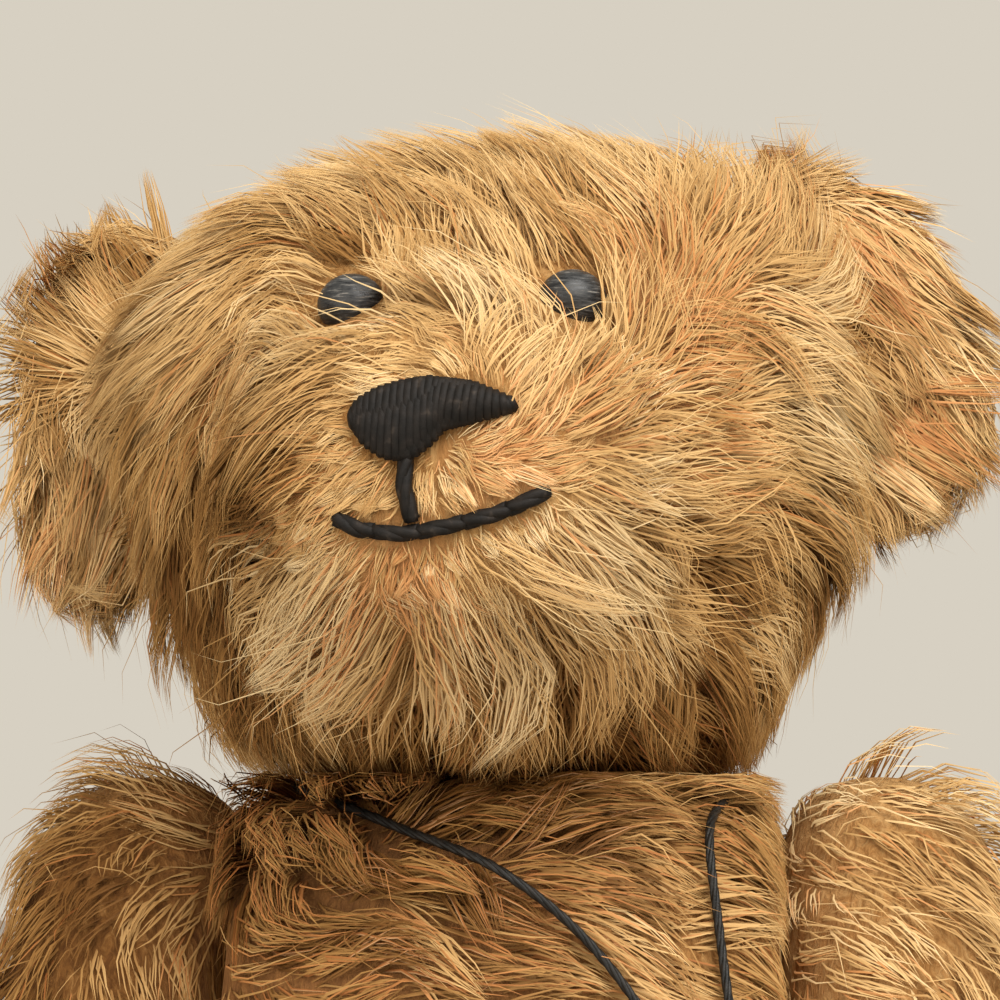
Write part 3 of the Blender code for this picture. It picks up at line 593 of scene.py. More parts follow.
def pile_mesh(name, paths, outs, widths, columns):
    """Every lock of a piece as one mesh. Its map has a column for each tone, from root to tip."""
    count, points, _ = paths.shape
    steps = points - 1
    shape, faces = lock_shape(steps)
    rung = np.rint(shape[:, 2]).astype(int)
    turn = np.arctan2(shape[:, 1], shape[:, 0])
    along = unit(np.gradient(paths, axis=1))
    aside = unit(np.cross(outs, along))
    above = np.cross(along, aside)
    fatness = np.interp(np.linspace(0, 1, steps), (0, 0.35, 0.7, 1), (0.6, 1.0, 0.85, 0.5))
    taper = np.append(fatness, 0)
    half = 0.5 * widths[:, None, None] * taper[rung][None, :, None]
    sideways = aside[:, rung] * np.cos(turn)[None, :, None]
    upwards = above[:, rung] * np.sin(turn)[None, :, None]
    corner = paths[:, rung] + half * (sideways + 0.6 * upwards)
    corner[..., 2] = np.maximum(corner[..., 2], 0.0002)
    mesh = bpy.data.meshes.new(name)
    mesh.vertices.add(count * len(shape))
    mesh.vertices.foreach_set("co", corner.ravel())
    loops = (faces[None] + (np.arange(count) * len(shape))[:, None, None]).ravel()
    mesh.loops.add(len(loops))
    mesh.loops.foreach_set("vertex_index", loops.astype(np.int32))
    mesh.polygons.add(len(loops) // 3)
    mesh.polygons.foreach_set("loop_start", np.arange(0, len(loops), 3, dtype=np.int32))
    mesh.update(calc_edges=True)
    across = 0.5 + 0.42 * np.cos(turn) * np.where(rung < steps, 1, 0)
    u = (columns[:, None] + across[None]) / TONES
    v = np.repeat((rung / steps)[None], count, axis=0)
    chart = np.stack([u, v], axis=2).reshape(-1, 2)[loops]
    mesh.uv_layers.new(name="OFBake").data.foreach_set("uv", chart.ravel())
    mesh.shade_smooth()
    own = (1 - COAT_SOFTNESS) * (sideways + upwards) + LIGHT_THROUGH_PILE
    over_way = unit(own + COAT_SOFTNESS * outs[:, rung])
    under_way = unit(own - COAT_SOFTNESS * outs[:, rung])
    under = (shape[:, 1] < 0.01)[faces].all(axis=1)
    ways = np.where(under[:, None, None], under_way[:, faces], over_way[:, faces])
    mesh.normals_split_custom_set(ways.reshape(-1, 3).tolist())
    return mesh


mohair, tree, shader = new_finish("mohair", 0.6, 0.16)
chart = add_node(tree, "ShaderNodeUVMap", uv_map="OFBake").outputs["UV"]
split = add_node(tree, "ShaderNodeSeparateXYZ", {"Vector": chart}).outputs
ROOT_TONES = (
    (0.00, (0.08, 0.028, 0.005)),
    (0.25, (0.26, 0.115, 0.028)),
    (0.50, (0.50, 0.280, 0.093)),
    (0.73, (0.70, 0.470, 0.200)),
    (0.77, (0.22, 0.065, 0.014)),
    (0.87, (0.42, 0.160, 0.045)),
    (0.98, (0.60, 0.270, 0.100)),
)
TIP_TONES = (
    (0.00, (0.18, 0.075, 0.015)),
    (0.25, (0.46, 0.250, 0.078)),
    (0.50, (0.76, 0.505, 0.220)),
    (0.73, (0.95, 0.755, 0.440)),
    (0.77, (0.38, 0.140, 0.036)),
    (0.87, (0.60, 0.285, 0.095)),
    (0.98, (0.82, 0.460, 0.200)),
)
# Each lock is darker towards its root and paler at its tip: the hair's own colour, with painted
# shade deep in the pile darkening the roots.
root_shade_to_tip = {"Value": split["Y"], "From Min": -0.25, "From Max": 0.75}
root_shade_to_tip = add_node(tree, "ShaderNodeMapRange", root_shade_to_tip).outputs["Result"]
roots = colour_ramp(tree, split["X"], ROOT_TONES)
tips = colour_ramp(tree, split["X"], TIP_TONES)
blend = {"Factor": root_shade_to_tip, "A": roots, "B": tips}
blend = add_node(tree, "ShaderNodeMix", blend, data_type="RGBA").outputs["Result"]
stretched = {"Vector": chart, "Scale": (TONES * 9.0, 1.5, 1.0)}
stretched = add_node(tree, "ShaderNodeMapping", stretched).outputs["Vector"]
streaks = add_node(tree, "ShaderNodeTexNoise", {"Vector": stretched, "Scale": 1.0, "Detail": 2.0})
fade = colour_ramp(tree, streaks.outputs["Fac"], ((0.30, (0.78, 0.75, 0.71)), (0.62, (1, 1, 1))))
faded = {"Factor": 1.0, "A": blend, "B": fade}
shade = add_node(tree, "ShaderNodeMix", faded, data_type="RGBA", blend_type="MULTIPLY")
feed(tree, shader, {"Base Color": shade.outputs["Result"]})


def only(coat, share):
    """The same coat, kept to a part of its cloth."""

    def limited(points):
        cover, *others = coat(points)
        return cover * share(points), *others

    return limited


def add_pile(name, laid, body, keep=None):
    paths, outs, widths, columns = (part if keep is None else part[keep] for part in laid)
    piece(name, pile_mesh(name, paths, outs, widths, columns), mohair, body, "mohair")


def held_back(laid, axis, side, limit, seed, ragged=0.0):
    """Bends the locks that would cross a joint too far, so that they end about its plane."""
    paths, outs, widths, columns = laid
    paths = paths.copy()
    ahead = side * (paths[..., axis] - paths[:, :1, axis])
    stops = limit - ragged * np.random.default_rng(seed).random(len(paths))
    room = np.maximum(stops - side * paths[:, 0, axis], 0)
    share = np.minimum(room / np.maximum(ahead.max(axis=1), 1e-9), 1)
    paths[..., axis] = paths[:, :1, axis] + side * ahead * np.where(ahead > 0, share[:, None], 1)
    return paths, outs, widths, columns


def in_head(points):
    """Points in the head's own frame, whose origin is on the neck's axis at the seam."""
    matrix = np.array(HEAD_FRAME.inverted())
    return points @ matrix[:3, :3].T + matrix[:3, 3]


EYE_PLACES = {"right": (-0.0108, 0.0553), "left": (0.0146, 0.0542)}
NOSE_TOP_EDGE = (  # x and z in the head's frame in mm
    *((-8.0, 40.6), (-7.2, 41.9), (-5.1, 43.0), (-2.4, 43.6)),
    *((0.7, 43.8), (4.8, 43.0), (7.2, 41.8), (9.0, 40.8)),
)
NOSE_FOOT_EDGE = (
    *((-7.9, 39.6), (-6.7, 37.4), (-4.6, 35.8), (-2.3, 35.4)),
    *((0.0, 36.9), (1.3, 38.5), (4.4, 39.1), (9.5, 40.4)),
)
SMILE = (
    *((-0.0106, 0.0296), (-0.0076, 0.0282), (-0.0030, 0.0275)),
    *((0.0024, 0.0281), (0.0078, 0.0293), (0.0124, 0.0312)),
)
HEAD_STROKES = (  # a place in mm and the way the pile is stroked there, in hundredths
    (33.0, 25.0, 213.0, 50, -5, 85),
    (2, -7, 204, -40, 71, 58),
    (0, 0, 210, -24, 87, 44),
    (-6, -9, 202, -31, 76, 57),
    (-16, 7, 213, -82, -10, 57),
    (-20, -3, 204, -48, 77, 41),
    (-22, -10, 195, -53, 74, 40),
    (-44, 22, 201, -99, -6, -8),
    (-38, 9, 200, -98, -8, 20),
    (-3, -5, 206, -35, 76, 55),
    (16, -4, 203, -72, 38, 59),
    (19, -2, 203, -69, 28, 67),
    (15, 19, 218, -73, -10, 68),
    (24, -2, 199, -3, 63, 78),
    (24, 8, 211, -25, 82, 51),
    (26, 0, 201, 41, 78, 48),
    (31, 11, 207, 75, 1, 67),
    (28, 1, 199, 58, 76, 29),
    (33, 8, 201, 28, 87, 41),
    (36, 17, 206, 20, -5, 98),
    (31, 4, 198, 91, 9, -40),
    (38, 11, 188, 94, 9, -33),
    (26, -5, 187, 66, 73, -18),
    (31, 0, 181, 54, 83, -14),
    (38, 11, 176, 81, 10, -58),
    (15, -25, 178, 44, 90, -1),
    (23, -10, 178, 62, 78, -6),
    (10, -29, 184, 9, 82, 57),
    (4, -31, 183, 96, 23, 15),
    (10, -29, 184, 38, 88, 29),
    (4, -31, 184, -43, 11, 90),
    (1, -30, 189, -93, 13, 35),
    (-6, -29, 192, -63, 76, 18),
    (-16, -28, 188, -87, 35, -34),
    (-17, -29, 181, -86, 41, -30),
    (-33, 2, 197, -58, 42, -70),
    (-39, 6, 190, -87, -3, -49),
    (-29, -2, 196, 8, -54, -83),
    (-29, -8, 187, 12, -55, -83),
    (-27, -6, 194, 34, -89, -31),
    (-16, -29, 177, -82, 29, -50),
    (-21, -27, 173, -39, 88, -27),
    (-20, -16, 162, -34, 88, -33),
    (-10, -24, 160, -30, 87, -39),
    (-7, -22, 158, -6, 89, -45),
    (-5, -10, 152, -1, 89, -46),
    (0, -22, 158, 20, 88, -43),
    (4, -11, 154, -54, 69, -48),
    (7, -31, 176, 59, 77, -24),
    (7, -30, 172, 52, 80, -28),
    (3, -30, 169, 39, 74, -55),
    (1, -30, 169, 16, 43, -89),
    (2, -27, 163, 35, 83, -44),
    (24, -6, 169, 58, 77, -27),
    (35, 7, 168, 27, 94, -22),
    (38, 16, 165, 49, 10, -86),
    (42, 35, 172, -46, -62, -64),
    (38, 23, 160, -49, -45, -75),
    (24, 3, 154, 26, 91, -33),
    (27, 15, 149, 49, 10, -87),
    (-28, 2, 154, 35, 60, -72),
    (-35, 28, 147, 62, 10, -77),
    (-37, 20, 153, 0, 7, -100),
    (36, 9, 196, 84, 10, -53),
    (42, 30, 193, 70, 10, -71),
    (37, 9, 190, 75, 10, -65),
    (-41, 8, 180, -38, 4, -93),
    (-32, -2, 168, 21, 22, -95),
    (13, -23, 167, 35, 87, -34),
    (17, -8, 159, 32, 81, -50),
    (8, -14, 197, -67, 49, 56),
    (-9, -19, 197, -47, 82, 34),
    (-10, 2, 211, -70, -10, 71),
    (7, 6, 214, -59, -10, 80),
)
# Places in the head's frame in mm, a radius in mm, and a strength.
SHORT_PILE = (
    ((-14.0, -58.0, 31.0), 5.0, 0.85),
    ((6.5, -60.0, 34.0), 5.0, 1.00),
    ((-6.0, -60.5, 31.0), 5.0, 1.00),
    ((0.5, -60.5, 31.0), 4.5, 1.00),
    ((-1.0, -60.0, 24.5), 4.0, 0.85),
    ((-9.5, -60.0, 38.0), 3.5, 0.90),
    ((0.0, -60.5, 41.0), 5.5, 0.80),
    ((8.0, -59.5, 40.5), 3.0, 0.80),
)
BEARD = (
    ((-30.0, -25.0, 12.0), 7.0, 0.7),
    ((-14.0, -50.0, 17.0), 7.0, 1.0),
    ((-3.0, -52.0, 16.0), 7.0, 1.0),
    ((8.0, -50.0, 17.0), 7.0, 1.0),
    ((-23.0, -36.0, 16.0), 7.0, 0.8),
)
TUFT = ((35.5, -5.5, 69.0), 5.0)
WORN_PATCHES = (
    ((7.0, -60.5, 34.6), 3.0, 0.55),
    ((-5.0, -59.1, 23.0), 2.6, 0.60),
    ((2.8, -59.0, 22.7), 2.0, 0.55),
    ((25.8, -33.7, 53.6), 2.5, 0.50),
)
RUSTY_PATCHES = (
    ((26.8, -33.7, 53.0), 5.0, 0.75),
    ((26.2, -37.0, 45.5), 4.0, 0.65),
    ((26.4, -39.0, 37.5), 3.5, 0.65),
    ((19.1, -55.1, 39.1), 3.5, 0.50),
    ((7.0, -60.5, 34.6), 3.5, 0.85),
    ((-4.0, -59.1, 23.0), 4.5, 0.85),
    ((-8.0, -58.5, 20.0), 4.0, 0.50),
    ((-12.0, -58.5, 33.0), 4.0, 0.30),
    ((-27.0, -37.0, 50.0), 5.0, 0.25),
    ((39.0, -4.5, 65.5), 4.5, 0.55),
)
# Painted shade: the pile is painted darker where the face lies in shade, on its right side, beside
# and under the muzzle and along the jaws; a few of these patches sit on the rusty rubbed spots.
PAINTED_SHADE_PATCHES = (
    ((-37.5, -23.5, 33.3), 8.0, 0.52),
    ((-32.4, -29.4, 26.7), 8.0, 0.60),
    ((-41.0, -12.0, 31.0), 6.0, 0.45),
    ((-28.0, -33.0, 19.0), 6.0, 0.45),
    ((-25.0, -42.0, 36.0), 7.0, 0.42),
    ((-18.5, -52.0, 37.0), 5.0, 0.50),
    ((-18.7, -56.1, 33.4), 4.0, 0.36),
    ((-15.0, -58.5, 37.0), 3.5, 0.30),
    ((-25.0, -34.0, 48.0), 7.0, 0.08),
    ((19.1, -55.1, 38.5), 3.5, 0.20),
    ((43.6, -4.9, 32.2), 6.0, 0.30),
    ((27.5, -32.0, 21.0), 6.0, 0.32),
    ((29.1, -30.8, 25.5), 5.0, 0.28),
    ((37.9, -16.0, 26.2), 6.0, 0.34),
    ((26.5, -35.0, 46.5), 6.0, 0.22),
    ((38.5, -5.1, 65.0), 4.0, 0.20),
    ((42.5, 0.5, 58.4), 4.5, 0.32),
    ((43.4, 4.0, 51.0), 4.5, 0.32),
    ((22.0, -39.0, 12.0), 5.0, 0.42),
    ((9.0, -40.0, 5.5), 6.0, 0.40),
    ((-15.0, -38.0, 5.5), 6.0, 0.35),
    ((38.0, -10.0, 14.0), 8.0, 0.22),
)
PALE_PATCHES = (
    ((10.0, -52.0, 46.0), 7.0, 0.16),
    ((0.0, -56.0, 48.0), 7.0, 0.16),
    ((13.0, -56.0, 24.0), 7.0, 0.36),
    ((17.0, -54.0, 31.0), 5.0, 0.30),
    ((-12.0, -54.0, 20.0), 7.0, 0.36),
    ((3.0, -54.0, 17.0), 7.0, 0.38),
    ((-16.0, -48.0, 14.0), 6.0, 0.30),
    ((30.0, -30.0, 44.0), 7.0, 0.10),
)
NOSE_TOP = np.array(HEAD_FRAME @ Vector((0, -0.058, 0.0435)))


def head_lie(points):
    """Back from the nose over the crown, outwards on the cheeks and down under the muzzle."""
    away = unit(points - NOSE_TOP)
    fall = 0.75 * smooth_step(NOSE_TOP[2] + 0.004 - points[:, 2], -0.010, 0.035)
    away[:, 0] += 0.10 * np.sign(points[:, 0])
    away[:, 2] -= fall
    return away


def most_of(points, patches):
    strengths = [strength * near(points, place, radius) for place, radius, strength in patches]
    return np.max(strengths, axis=0)


def head_coat(points):
    local = in_head(points)
    x, y, z = local.T
    back = smooth_step(y, -0.004, 0.022)
    short = most_of(local, SHORT_PILE)
    crown = smooth_step(z, 0.056, 0.068)
    left_jaw = smooth_step(x, 0.018, 0.036) * smooth_step(0.034 - z, 0.0, 0.014)
    beard = most_of(local, BEARD)
    tuft = near(local, *TUFT)
    length = (0.0120 - 0.0020 * back + 0.0030 * beard + 0.0020 * tuft) * (1 - 0.55 * short)
    loft = (0.0034 + 0.0022 * beard) * (1 - 0.85 * short) * (1 - 0.50 * crown)
    loft = loft * (1 - 0.55 * left_jaw) + 0.0034 * tuft
    width = 0.00028 + 0.00040 * back - 0.00004 * short
    cover = (1 - 0.75 * short) * (1 - most_of(local, WORN_PATCHES))
    for eye_x, eye_z in EYE_PLACES.values():
        apart = np.hypot(x - eye_x, z - eye_z)
        cover *= np.where(y < 0, smooth_step(apart, 0.0030, 0.0038), 1.0)
    cover *= smooth_step(z, 0.0003, 0.002)
    tone = 0.55 + most_of(local, PALE_PATCHES) - most_of(local, PAINTED_SHADE_PATCHES)
    # Painted shade: the pile is painted darker towards the neck seam, under the jaw.
    tone -= 0.48 * smooth_step(0.015 - z, 0, 0.011)
    rust = 0.02 + 0.85 * most_of(local, RUSTY_PATCHES)
    rust += 0.25 * smooth_step(0.010 - z, 0, 0.006)
    return cover, length, loft, width, np.clip(tone, 0, 1), np.clip(rust, 0, 1)


def muzzle_coat(points):
    """The short fine pile round the nose and over the mouth."""
    _, _, _, _, tone, rust = head_coat(points)
    short = most_of(in_head(points), SHORT_PILE)
    bare = 1 - 0.8 * most_of(in_head(points), WORN_PATCHES)
    full = np.ones(len(points))
    return short**1.5 * bare, 0.0040 * full, 0.0007 * full, 0.00026 * full, tone, rust


def hides(paths, chosen):
    """Which locks lie across the nose, the mouth or an eye; chance lets a few of them do so."""
    count, points, _ = paths.shape
    finer = np.linspace(0, points - 1, 4 * (points - 1) + 1)
    low = np.minimum(finer.astype(int), points - 2)
    dense = paths[:, low] + (paths[:, low + 1] - paths[:, low]) * (finer - low)[None, :, None]
    x, y, z = np.moveaxis(in_head(dense.reshape(-1, 3)).reshape(count, -1, 3) * 1000, 2, 0)
    front = y < -35
    top = np.interp(x, *np.array(NOSE_TOP_EDGE).T)
    foot = np.interp(x, *np.array(NOSE_FOOT_EDGE).T)
    over_nose = (front & (x > -8.3) & (x < 9.1) & (z < top) & (z > foot)).any(axis=1)
    smile_x, smile_z = np.array(SMILE).T * 1000
    on_mouth = front & (x > -10.2) & (x < 11.6) & (abs(z - np.interp(x, smile_x, smile_z)) < 0.8)
    on_mouth |= front & (abs(x + 2.5) < 0.9) & (z > 28) & (z < 36)
    hidden = (over_nose & (chosen > 0.02)) | (on_mouth.any(axis=1) & (chosen > 0.05))
    for label, low_share in (("right", 0.07), ("left", 0.28)):
        eye_x, eye_z = (value * 1000 for value in EYE_PLACES[label])
        over_eye = (front & (np.hypot((x - eye_x) / 4.2, (z - eye_z) / 3.7) < 1)).any(axis=1)
        hidden |= over_eye & (chosen > low_share)
    return hidden


def barbered(laid, seed):
    """Clips the locks that would hide the face, and leaves out those that still do."""
    paths, outs, widths, columns = laid
    chosen = np.random.default_rng(seed).random(len(paths))
    across = hides(paths, chosen)
    roots = paths[:, :1]
    clipped = np.where(across[:, None, None], roots + (paths - roots) * 0.38, paths)
    widths = np.where(across, widths * 0.75, widths)
    stay = ~hides(clipped, chosen)
    return clipped[stay], outs[stay], widths[stay], columns[stay]


def at_front(points):
    return 1 - smooth_step(in_head(points)[:, 1], 0.000, 0.012)


def at_back(points):
    return 1 - at_front(points)


head_combing = comb_field(HEAD_STROKES, head_lie)
front_coat = only(head_coat, at_front)
head_laid = lay_pile(head_cloth, head_combing, front_coat, count=22000, steps=3, seed=101)
head_laid = held_back(barbered(head_laid, 102), 2, -1, MINGLING - NECK_HEIGHT, 106, 0.0040)
head_x = in_head(head_laid[0][:, 0])[:, 0]
add_pile("head_pile_right", head_laid, "head", head_x < -0.011)
add_pile("head_pile_middle", head_laid, "head", abs(head_x) <= 0.011)
add_pile("head_pile_left", head_laid, "head", head_x > 0.011)
back_coat = only(head_coat, at_back)
back_laid = lay_pile(head_cloth, head_combing, back_coat, count=6500, steps=2, seed=105)
add_pile("head_pile_back", held_back(back_laid, 2, -1, MINGLING - NECK_HEIGHT, 107, 0.0025), "head")
muzzle_laid = lay_pile(head_cloth, head_combing, muzzle_coat, count=8000, steps=2, seed=103)
add_pile("muzzle_pile", barbered(muzzle_laid, 104), "head")

# Eyes.
# Two black glass buttons on wire shanks, sunk to their middles in the cloth. Years of wear have
# scratched them, and the scratched streaks are rougher and painted pale as painted highlights.
EYE_RADIUS = 0.0036


def on_face(x, z):
    """The point of the face straight behind (x, z), and the way out of the cloth there."""
    place, normal, _, _ = head_front.ray_cast(Vector((x, -0.09, z)), Vector((0, 1, 0)))
    return place, normal


glass, tree, shader = new_finish("scratched eye glass with painted highlights", 0.2)
turned = {"Vector": object_places(tree), "Rotation": (0.4, 0.9, 0.2), "Scale": (1.0, 1.0, 9.0)}
turned = add_node(tree, "ShaderNodeMapping", turned).outputs["Vector"]
scratch_and_highlight_noise = {"Vector": turned, "Scale": 420.0, "Detail": 6.0, "Roughness": 0.7}
scratch_and_highlight = add_node(tree, "ShaderNodeTexNoise", scratch_and_highlight_noise).outputs["Fac"]
# Painted highlights: the pale end of this ramp paints grey highlights on the glass.
stops = ((0.44, (0.012, 0.013, 0.014)), (0.56, (0.040, 0.042, 0.042)), (0.68, (0.24, 0.225, 0.20)))
tone = colour_ramp(tree, scratch_and_highlight, stops)
rough = colour_ramp(tree, scratch_and_highlight, ((0.40, (0.25, 0.25, 0.25)), (0.62, (0.75, 0.75, 0.75))))
feed(tree, shader, {"Base Color": tone, "Roughness": rough})

for label, (x, z) in EYE_PLACES.items():
    place, normal = on_face(x, z)
    bm = bmesh.new()
    bmesh.ops.create_uvsphere(bm, u_segments=32, v_segments=18, radius=EYE_RADIUS)
    bmesh.ops.scale(bm, vec=(1.14, 1.0, 1.0), verts=bm.verts)
    facing = normal.to_track_quat("Z", "Y").to_matrix().to_4x4()
    bm.transform(HEAD_FRAME @ Matrix.Translation(place) @ facing)
    mesh = settled_mesh(f"glass_eye_{label}", bm)
    mesh.shade_smooth()
    piece(f"glass_eye_{label}", mesh, glass, "head", "eye_glass", f"eye_{label}")

# Nose, lip and mouth.
# Black pearl cotton: satin stitches side by side for the nose, one stitch down from it, and a smile
# of a few back stitches. The thread has gone dusty, and its plies show.
NOSE_STITCHES = 24
THREAD_DIAMETER = 0.0018

stops = (
    (0.40, (0.005, 0.004, 0.003)),
    (0.62, (0.012, 0.009, 0.007)),
    (0.80, (0.055, 0.042, 0.032)),
)
thread = fibrous("black pearl cotton", 0.65, 0.25, (700.0, 3500.0, 0.0001), stops)


def face_route(points, rise, end):
    """A stitch over the cloth behind a route of (x, z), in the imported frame.

    rise gives its height above the cloth at a share of the way along an arch from root to root, and
    end is how far along that arch the stitch begins.
    """
    made = []
    for (x, z), share in zip(points, np.linspace(end, 1 - end, len(points))):
        place, normal = on_face(x, z)
        made.append(HEAD_FRAME @ (place + normal * rise(math.sin(math.pi * share))))
    return np.array(made)


def along_edge(edge, share):
    """A point at a share of the way along an edge of the nose, in metres."""
    corners = np.array(edge) / 1000
    run = np.concatenate([[0], np.cumsum(np.linalg.norm(np.diff(corners, axis=0), axis=1))])
    return np.array([np.interp(share * run[-1], run, corners[:, axis]) for axis in (0, 1)])


routes = []
for index in range(NOSE_STITCHES):
    share = (index + 0.5) / NOSE_STITCHES
    top = along_edge(NOSE_TOP_EDGE, share)
    foot = along_edge(NOSE_FOOT_EDGE, share)
    if np.linalg.norm(top - foot) < 0.0008:
        continue
    points = [top + (foot - top) * step for step in np.linspace(0, 1, 14)]
    dome = 0.0017 * math.sin(math.pi * (0.1 + 0.8 * share)) ** 0.5
    routes.append(face_route(points, lambda arch: 0.0003 + dome * arch**0.6, 0.06))
nose = laid_thread("nose_satin", routes, THREAD_DIAMETER, 3, 0.0160, fatness=1.60)
piece("nose_satin", nose, thread, "head", "black_thread", "nose_stitching")


def arched(low, high):
    """The rise of a stitch, in diameters of its thread: low at its roots, and high more between."""
    return lambda arch: THREAD_DIAMETER * (low + high * arch**0.5)


mouth = spline_through([(x, 0, z) for x, z in SMILE], 0.0005)[:, (0, 2)]
stitches = []
for run in np.array_split(np.arange(len(mouth)), 5):
    run = np.arange(max(run[0] - 1, 0), run[-1] + 1)
    stitches.append(face_route(mouth[run], arched(0.15, 0.42), 0.06))
lip = [(-0.0024, 0, 0.0358), (-0.0028, 0, 0.0325), (-0.0022, 0, 0.0288)]
lip = spline_through(lip, 0.0005)[:, (0, 2)]
lip_stitch = face_route(lip, arched(0.2, 0.45), 0.05)
for name, routes, node in (
    ("mouth_back_stitches", stitches, "mouth_stitch"),
    ("lip_long_stitch", [lip_stitch], "lip_stitch"),
):
    laid = laid_thread(name, routes, THREAD_DIAMETER * 1.10, 3, 0.0090, fatness=1.45)
    piece(name, laid, thread, "head", "black_thread", node)

# Ears.
# Two cupped ovals of mohair cloth, sewn to the sides of the head with their rims drooping forward.
# The pile is rubbed through where they bend.
EAR_PLACES = {"right": (-0.0430, 0.0040, 0.0495), "left": (0.0412, 0.0040, 0.0520)}
EAR_LONG = 0.0212
EAR_WIDE = 0.0178
EAR_THICK = 0.0045
EAR_CUP = 0.0035
EAR_SPREAD = {"right": 0.0030, "left": 0.0}
EAR_TONE = 0.62
EAR_DARK_PATCHES = {
    "right": (((-49.8, 1.0, 65.0), 5.0, 0.30), ((-55.7, 1.5, 51.4), 4.0, 0.16)),
    "left": (
        ((46.0, 0.0, 61.0), 4.5, 0.24),
        ((47.4, 0.0, 53.3), 4.5, 0.26),
        ((52.9, 0.1, 41.8), 4.0, 0.26),
    ),
}
EAR_RUSTY_PATCHES = {
    "right": (((-57.0, 3.2, 60.6), 3.5, 0.45), ((-56.0, 0.3, 37.2), 4.5, 0.60)),
    "left": (((44.5, -0.5, 63.5), 4.0, 0.55), ((49.4, -0.4, 44.4), 3.5, 0.75)),
}
SIDES = (("right", -1), ("left", 1))
EAR_STROKES = {
    "right": (
        (-52, 33, 206, -78, -10, 62),
        (-54, 34, 204, -63, -10, 77),
        (-58, 35, 200, -55, -10, 83),
        (-58, 35, 195, -89, -9, 45),
        (-60, 35, 191, 23, -14, -96),
        (-64, 38, 188, 53, -33, -78),
        (-64, 36, 184, 70, -35, -62),
        (-59, 34, 178, -17, 6, -98),
        (-55, 32, 173, -32, 4, -95),
    ),
    "left": (
        (25, 28, 217, 50, -3, 87),
        (31, 27, 218, 63, -1, 77),
        (38, 28, 216, 87, 14, -48),
        (46, 29, 212, 77, 14, -62),
        (42, 28, 207, 64, 5, -77),
        (51, 28, 196, 85, 22, -48),
        (39, 27, 204, 62, 4, -78),
        (48, 28, 194, 63, 3, -78),
        (52, 27, 184, 17, -1, -98),
        (53, 27, 179, 70, 10, -71),
        (56, 28, 183, 65, 10, -76),
        (52, 30, 176, 60, 10, -80),
    ),
}

into_head = surface_of(head_cloth)
for label, side in SIDES:
    rings = []
    for height, width in ((-1.0, 0.39), (-0.70, 0.86), (0.0, 1.08), (0.70, 0.86), (1.0, 0.39)):
        thick = EAR_THICK * (0.55 + 0.42 * width)
        centre = (0, -0.8 * EAR_CUP * height**2, height * EAR_LONG)
        rings.append((centre, (EAR_WIDE * width, 0, 0), (0, thick, 0), 2.0, 0.0))
    ear_cloth = stuffed_form(f"ear_cloth_{label}", rings, 3)
    for vert in ear_cloth.vertices:
        vert.co.y -= EAR_CUP * (vert.co.x / EAR_WIDE) ** 2
    turn = Euler((math.radians(-4), side * math.radians(-20), side * math.radians(14)))
    place = HEAD_FRAME @ Matrix.Translation(EAR_PLACES[label])
    ear_cloth.transform(place @ turn.to_matrix().to_4x4())
    ear = piece(f"ear_cloth_{label}", ear_cloth, backing, "head", "mohair", f"ear_{label}")

    def ear_coat(points):
        nearest, out = on_cloth(into_head, points)
        away = ((points - nearest) * out).sum(axis=1)
        local = in_head(points)
        behind = smooth_step(local[:, 1], 0.002, 0.008)
        cover = smooth_step(away, -0.0002, 0.0008) * (1 - 0.55 * behind)
        high = smooth_step(local[:, 2], 0.0040, 0.0040 + 0.5 * EAR_LONG)
        crease = (1 - smooth_step(away, 0.001, 0.007)) * (1 - behind)
        rust = 0.03 + 0.35 * crease * (1 - high)
        rust += most_of(local, EAR_RUSTY_PATCHES[label]) * (1 - behind)
        # Painted shade and light: the pile is painted darker in the crease against the head, and
        # lighter on the back of the ear to light its rims.
        tone = EAR_TONE - 0.26 * crease * (1 - 0.5 * high) + 0.10 * behind
        tone -= most_of(local, EAR_DARK_PATCHES[label]) * (1 - behind)
        full = np.ones(len(points))
        outer = smooth_step(side * local[:, 0], 0.046, 0.056)
        loft = 0.0030 * (1 - 0.5 * high) + EAR_SPREAD[label] * outer
        width = 0.00032 + 0.00020 * behind
        return cover, 0.0125 * full, loft, width, np.clip(tone, 0, 1), np.clip(rust, 0, 1)

    def ear_lie(points):
        return np.tile((0.7 * side, -0.25, -0.6), (len(points), 1))

    combing = comb_field(EAR_STROKES[label], ear_lie)
    laid = lay_pile(ear_cloth, combing, ear_coat, count=4000, steps=3, seed=121 + side)
    add_pile(f"ear_pile_{label}", laid, "head")

# Body.
# A stuffed bag of the same cloth, flat where the arms and legs turn against it and where it sits.
SIDE_PLANE = 0.0330
CORD_SHOWS = 0.1385
TORSO_SECTIONS = (  # z, middle's y, half-width, half-depth, boxiness
    (-0.0070, 0.0000, 0.0310, 0.0260, 2.4),
    (0.0080, -0.0020, 0.0420, 0.0370, 2.6),
    (0.0440, -0.0060, 0.0410, 0.0440, 2.6),
    (0.0880, -0.0060, 0.0400, 0.0430, 2.8),
    (0.1290, -0.0020, 0.0430, 0.0370, 2.8),
    (0.1480, 0.0010, 0.0270, 0.0260, 2.4),
)
TORSO_STROKES = (
    (-23, 3, 133, 29, -57, -76),
    (-26, 3, 128, 61, -63, -49),
    (-32, 9, 128, 33, -75, -57),
    (-19, -3, 125, 92, -7, 38),
    (-4, -4, 128, 83, -25, -50),
    (2, 0, 136, 78, 46, 42),
    (3, -2, 134, 98, 3, -18),
    (15, -1, 131, 92, 32, -23),
    (8, -4, 128, 96, 6, -27),
    (15, -4, 126, 82, 8, -56),
    (1, -6, 124, 93, -6, -36),
    (28, 2, 122, 63, 55, -54),
    (24, 5, 135, 78, 23, -59),
)

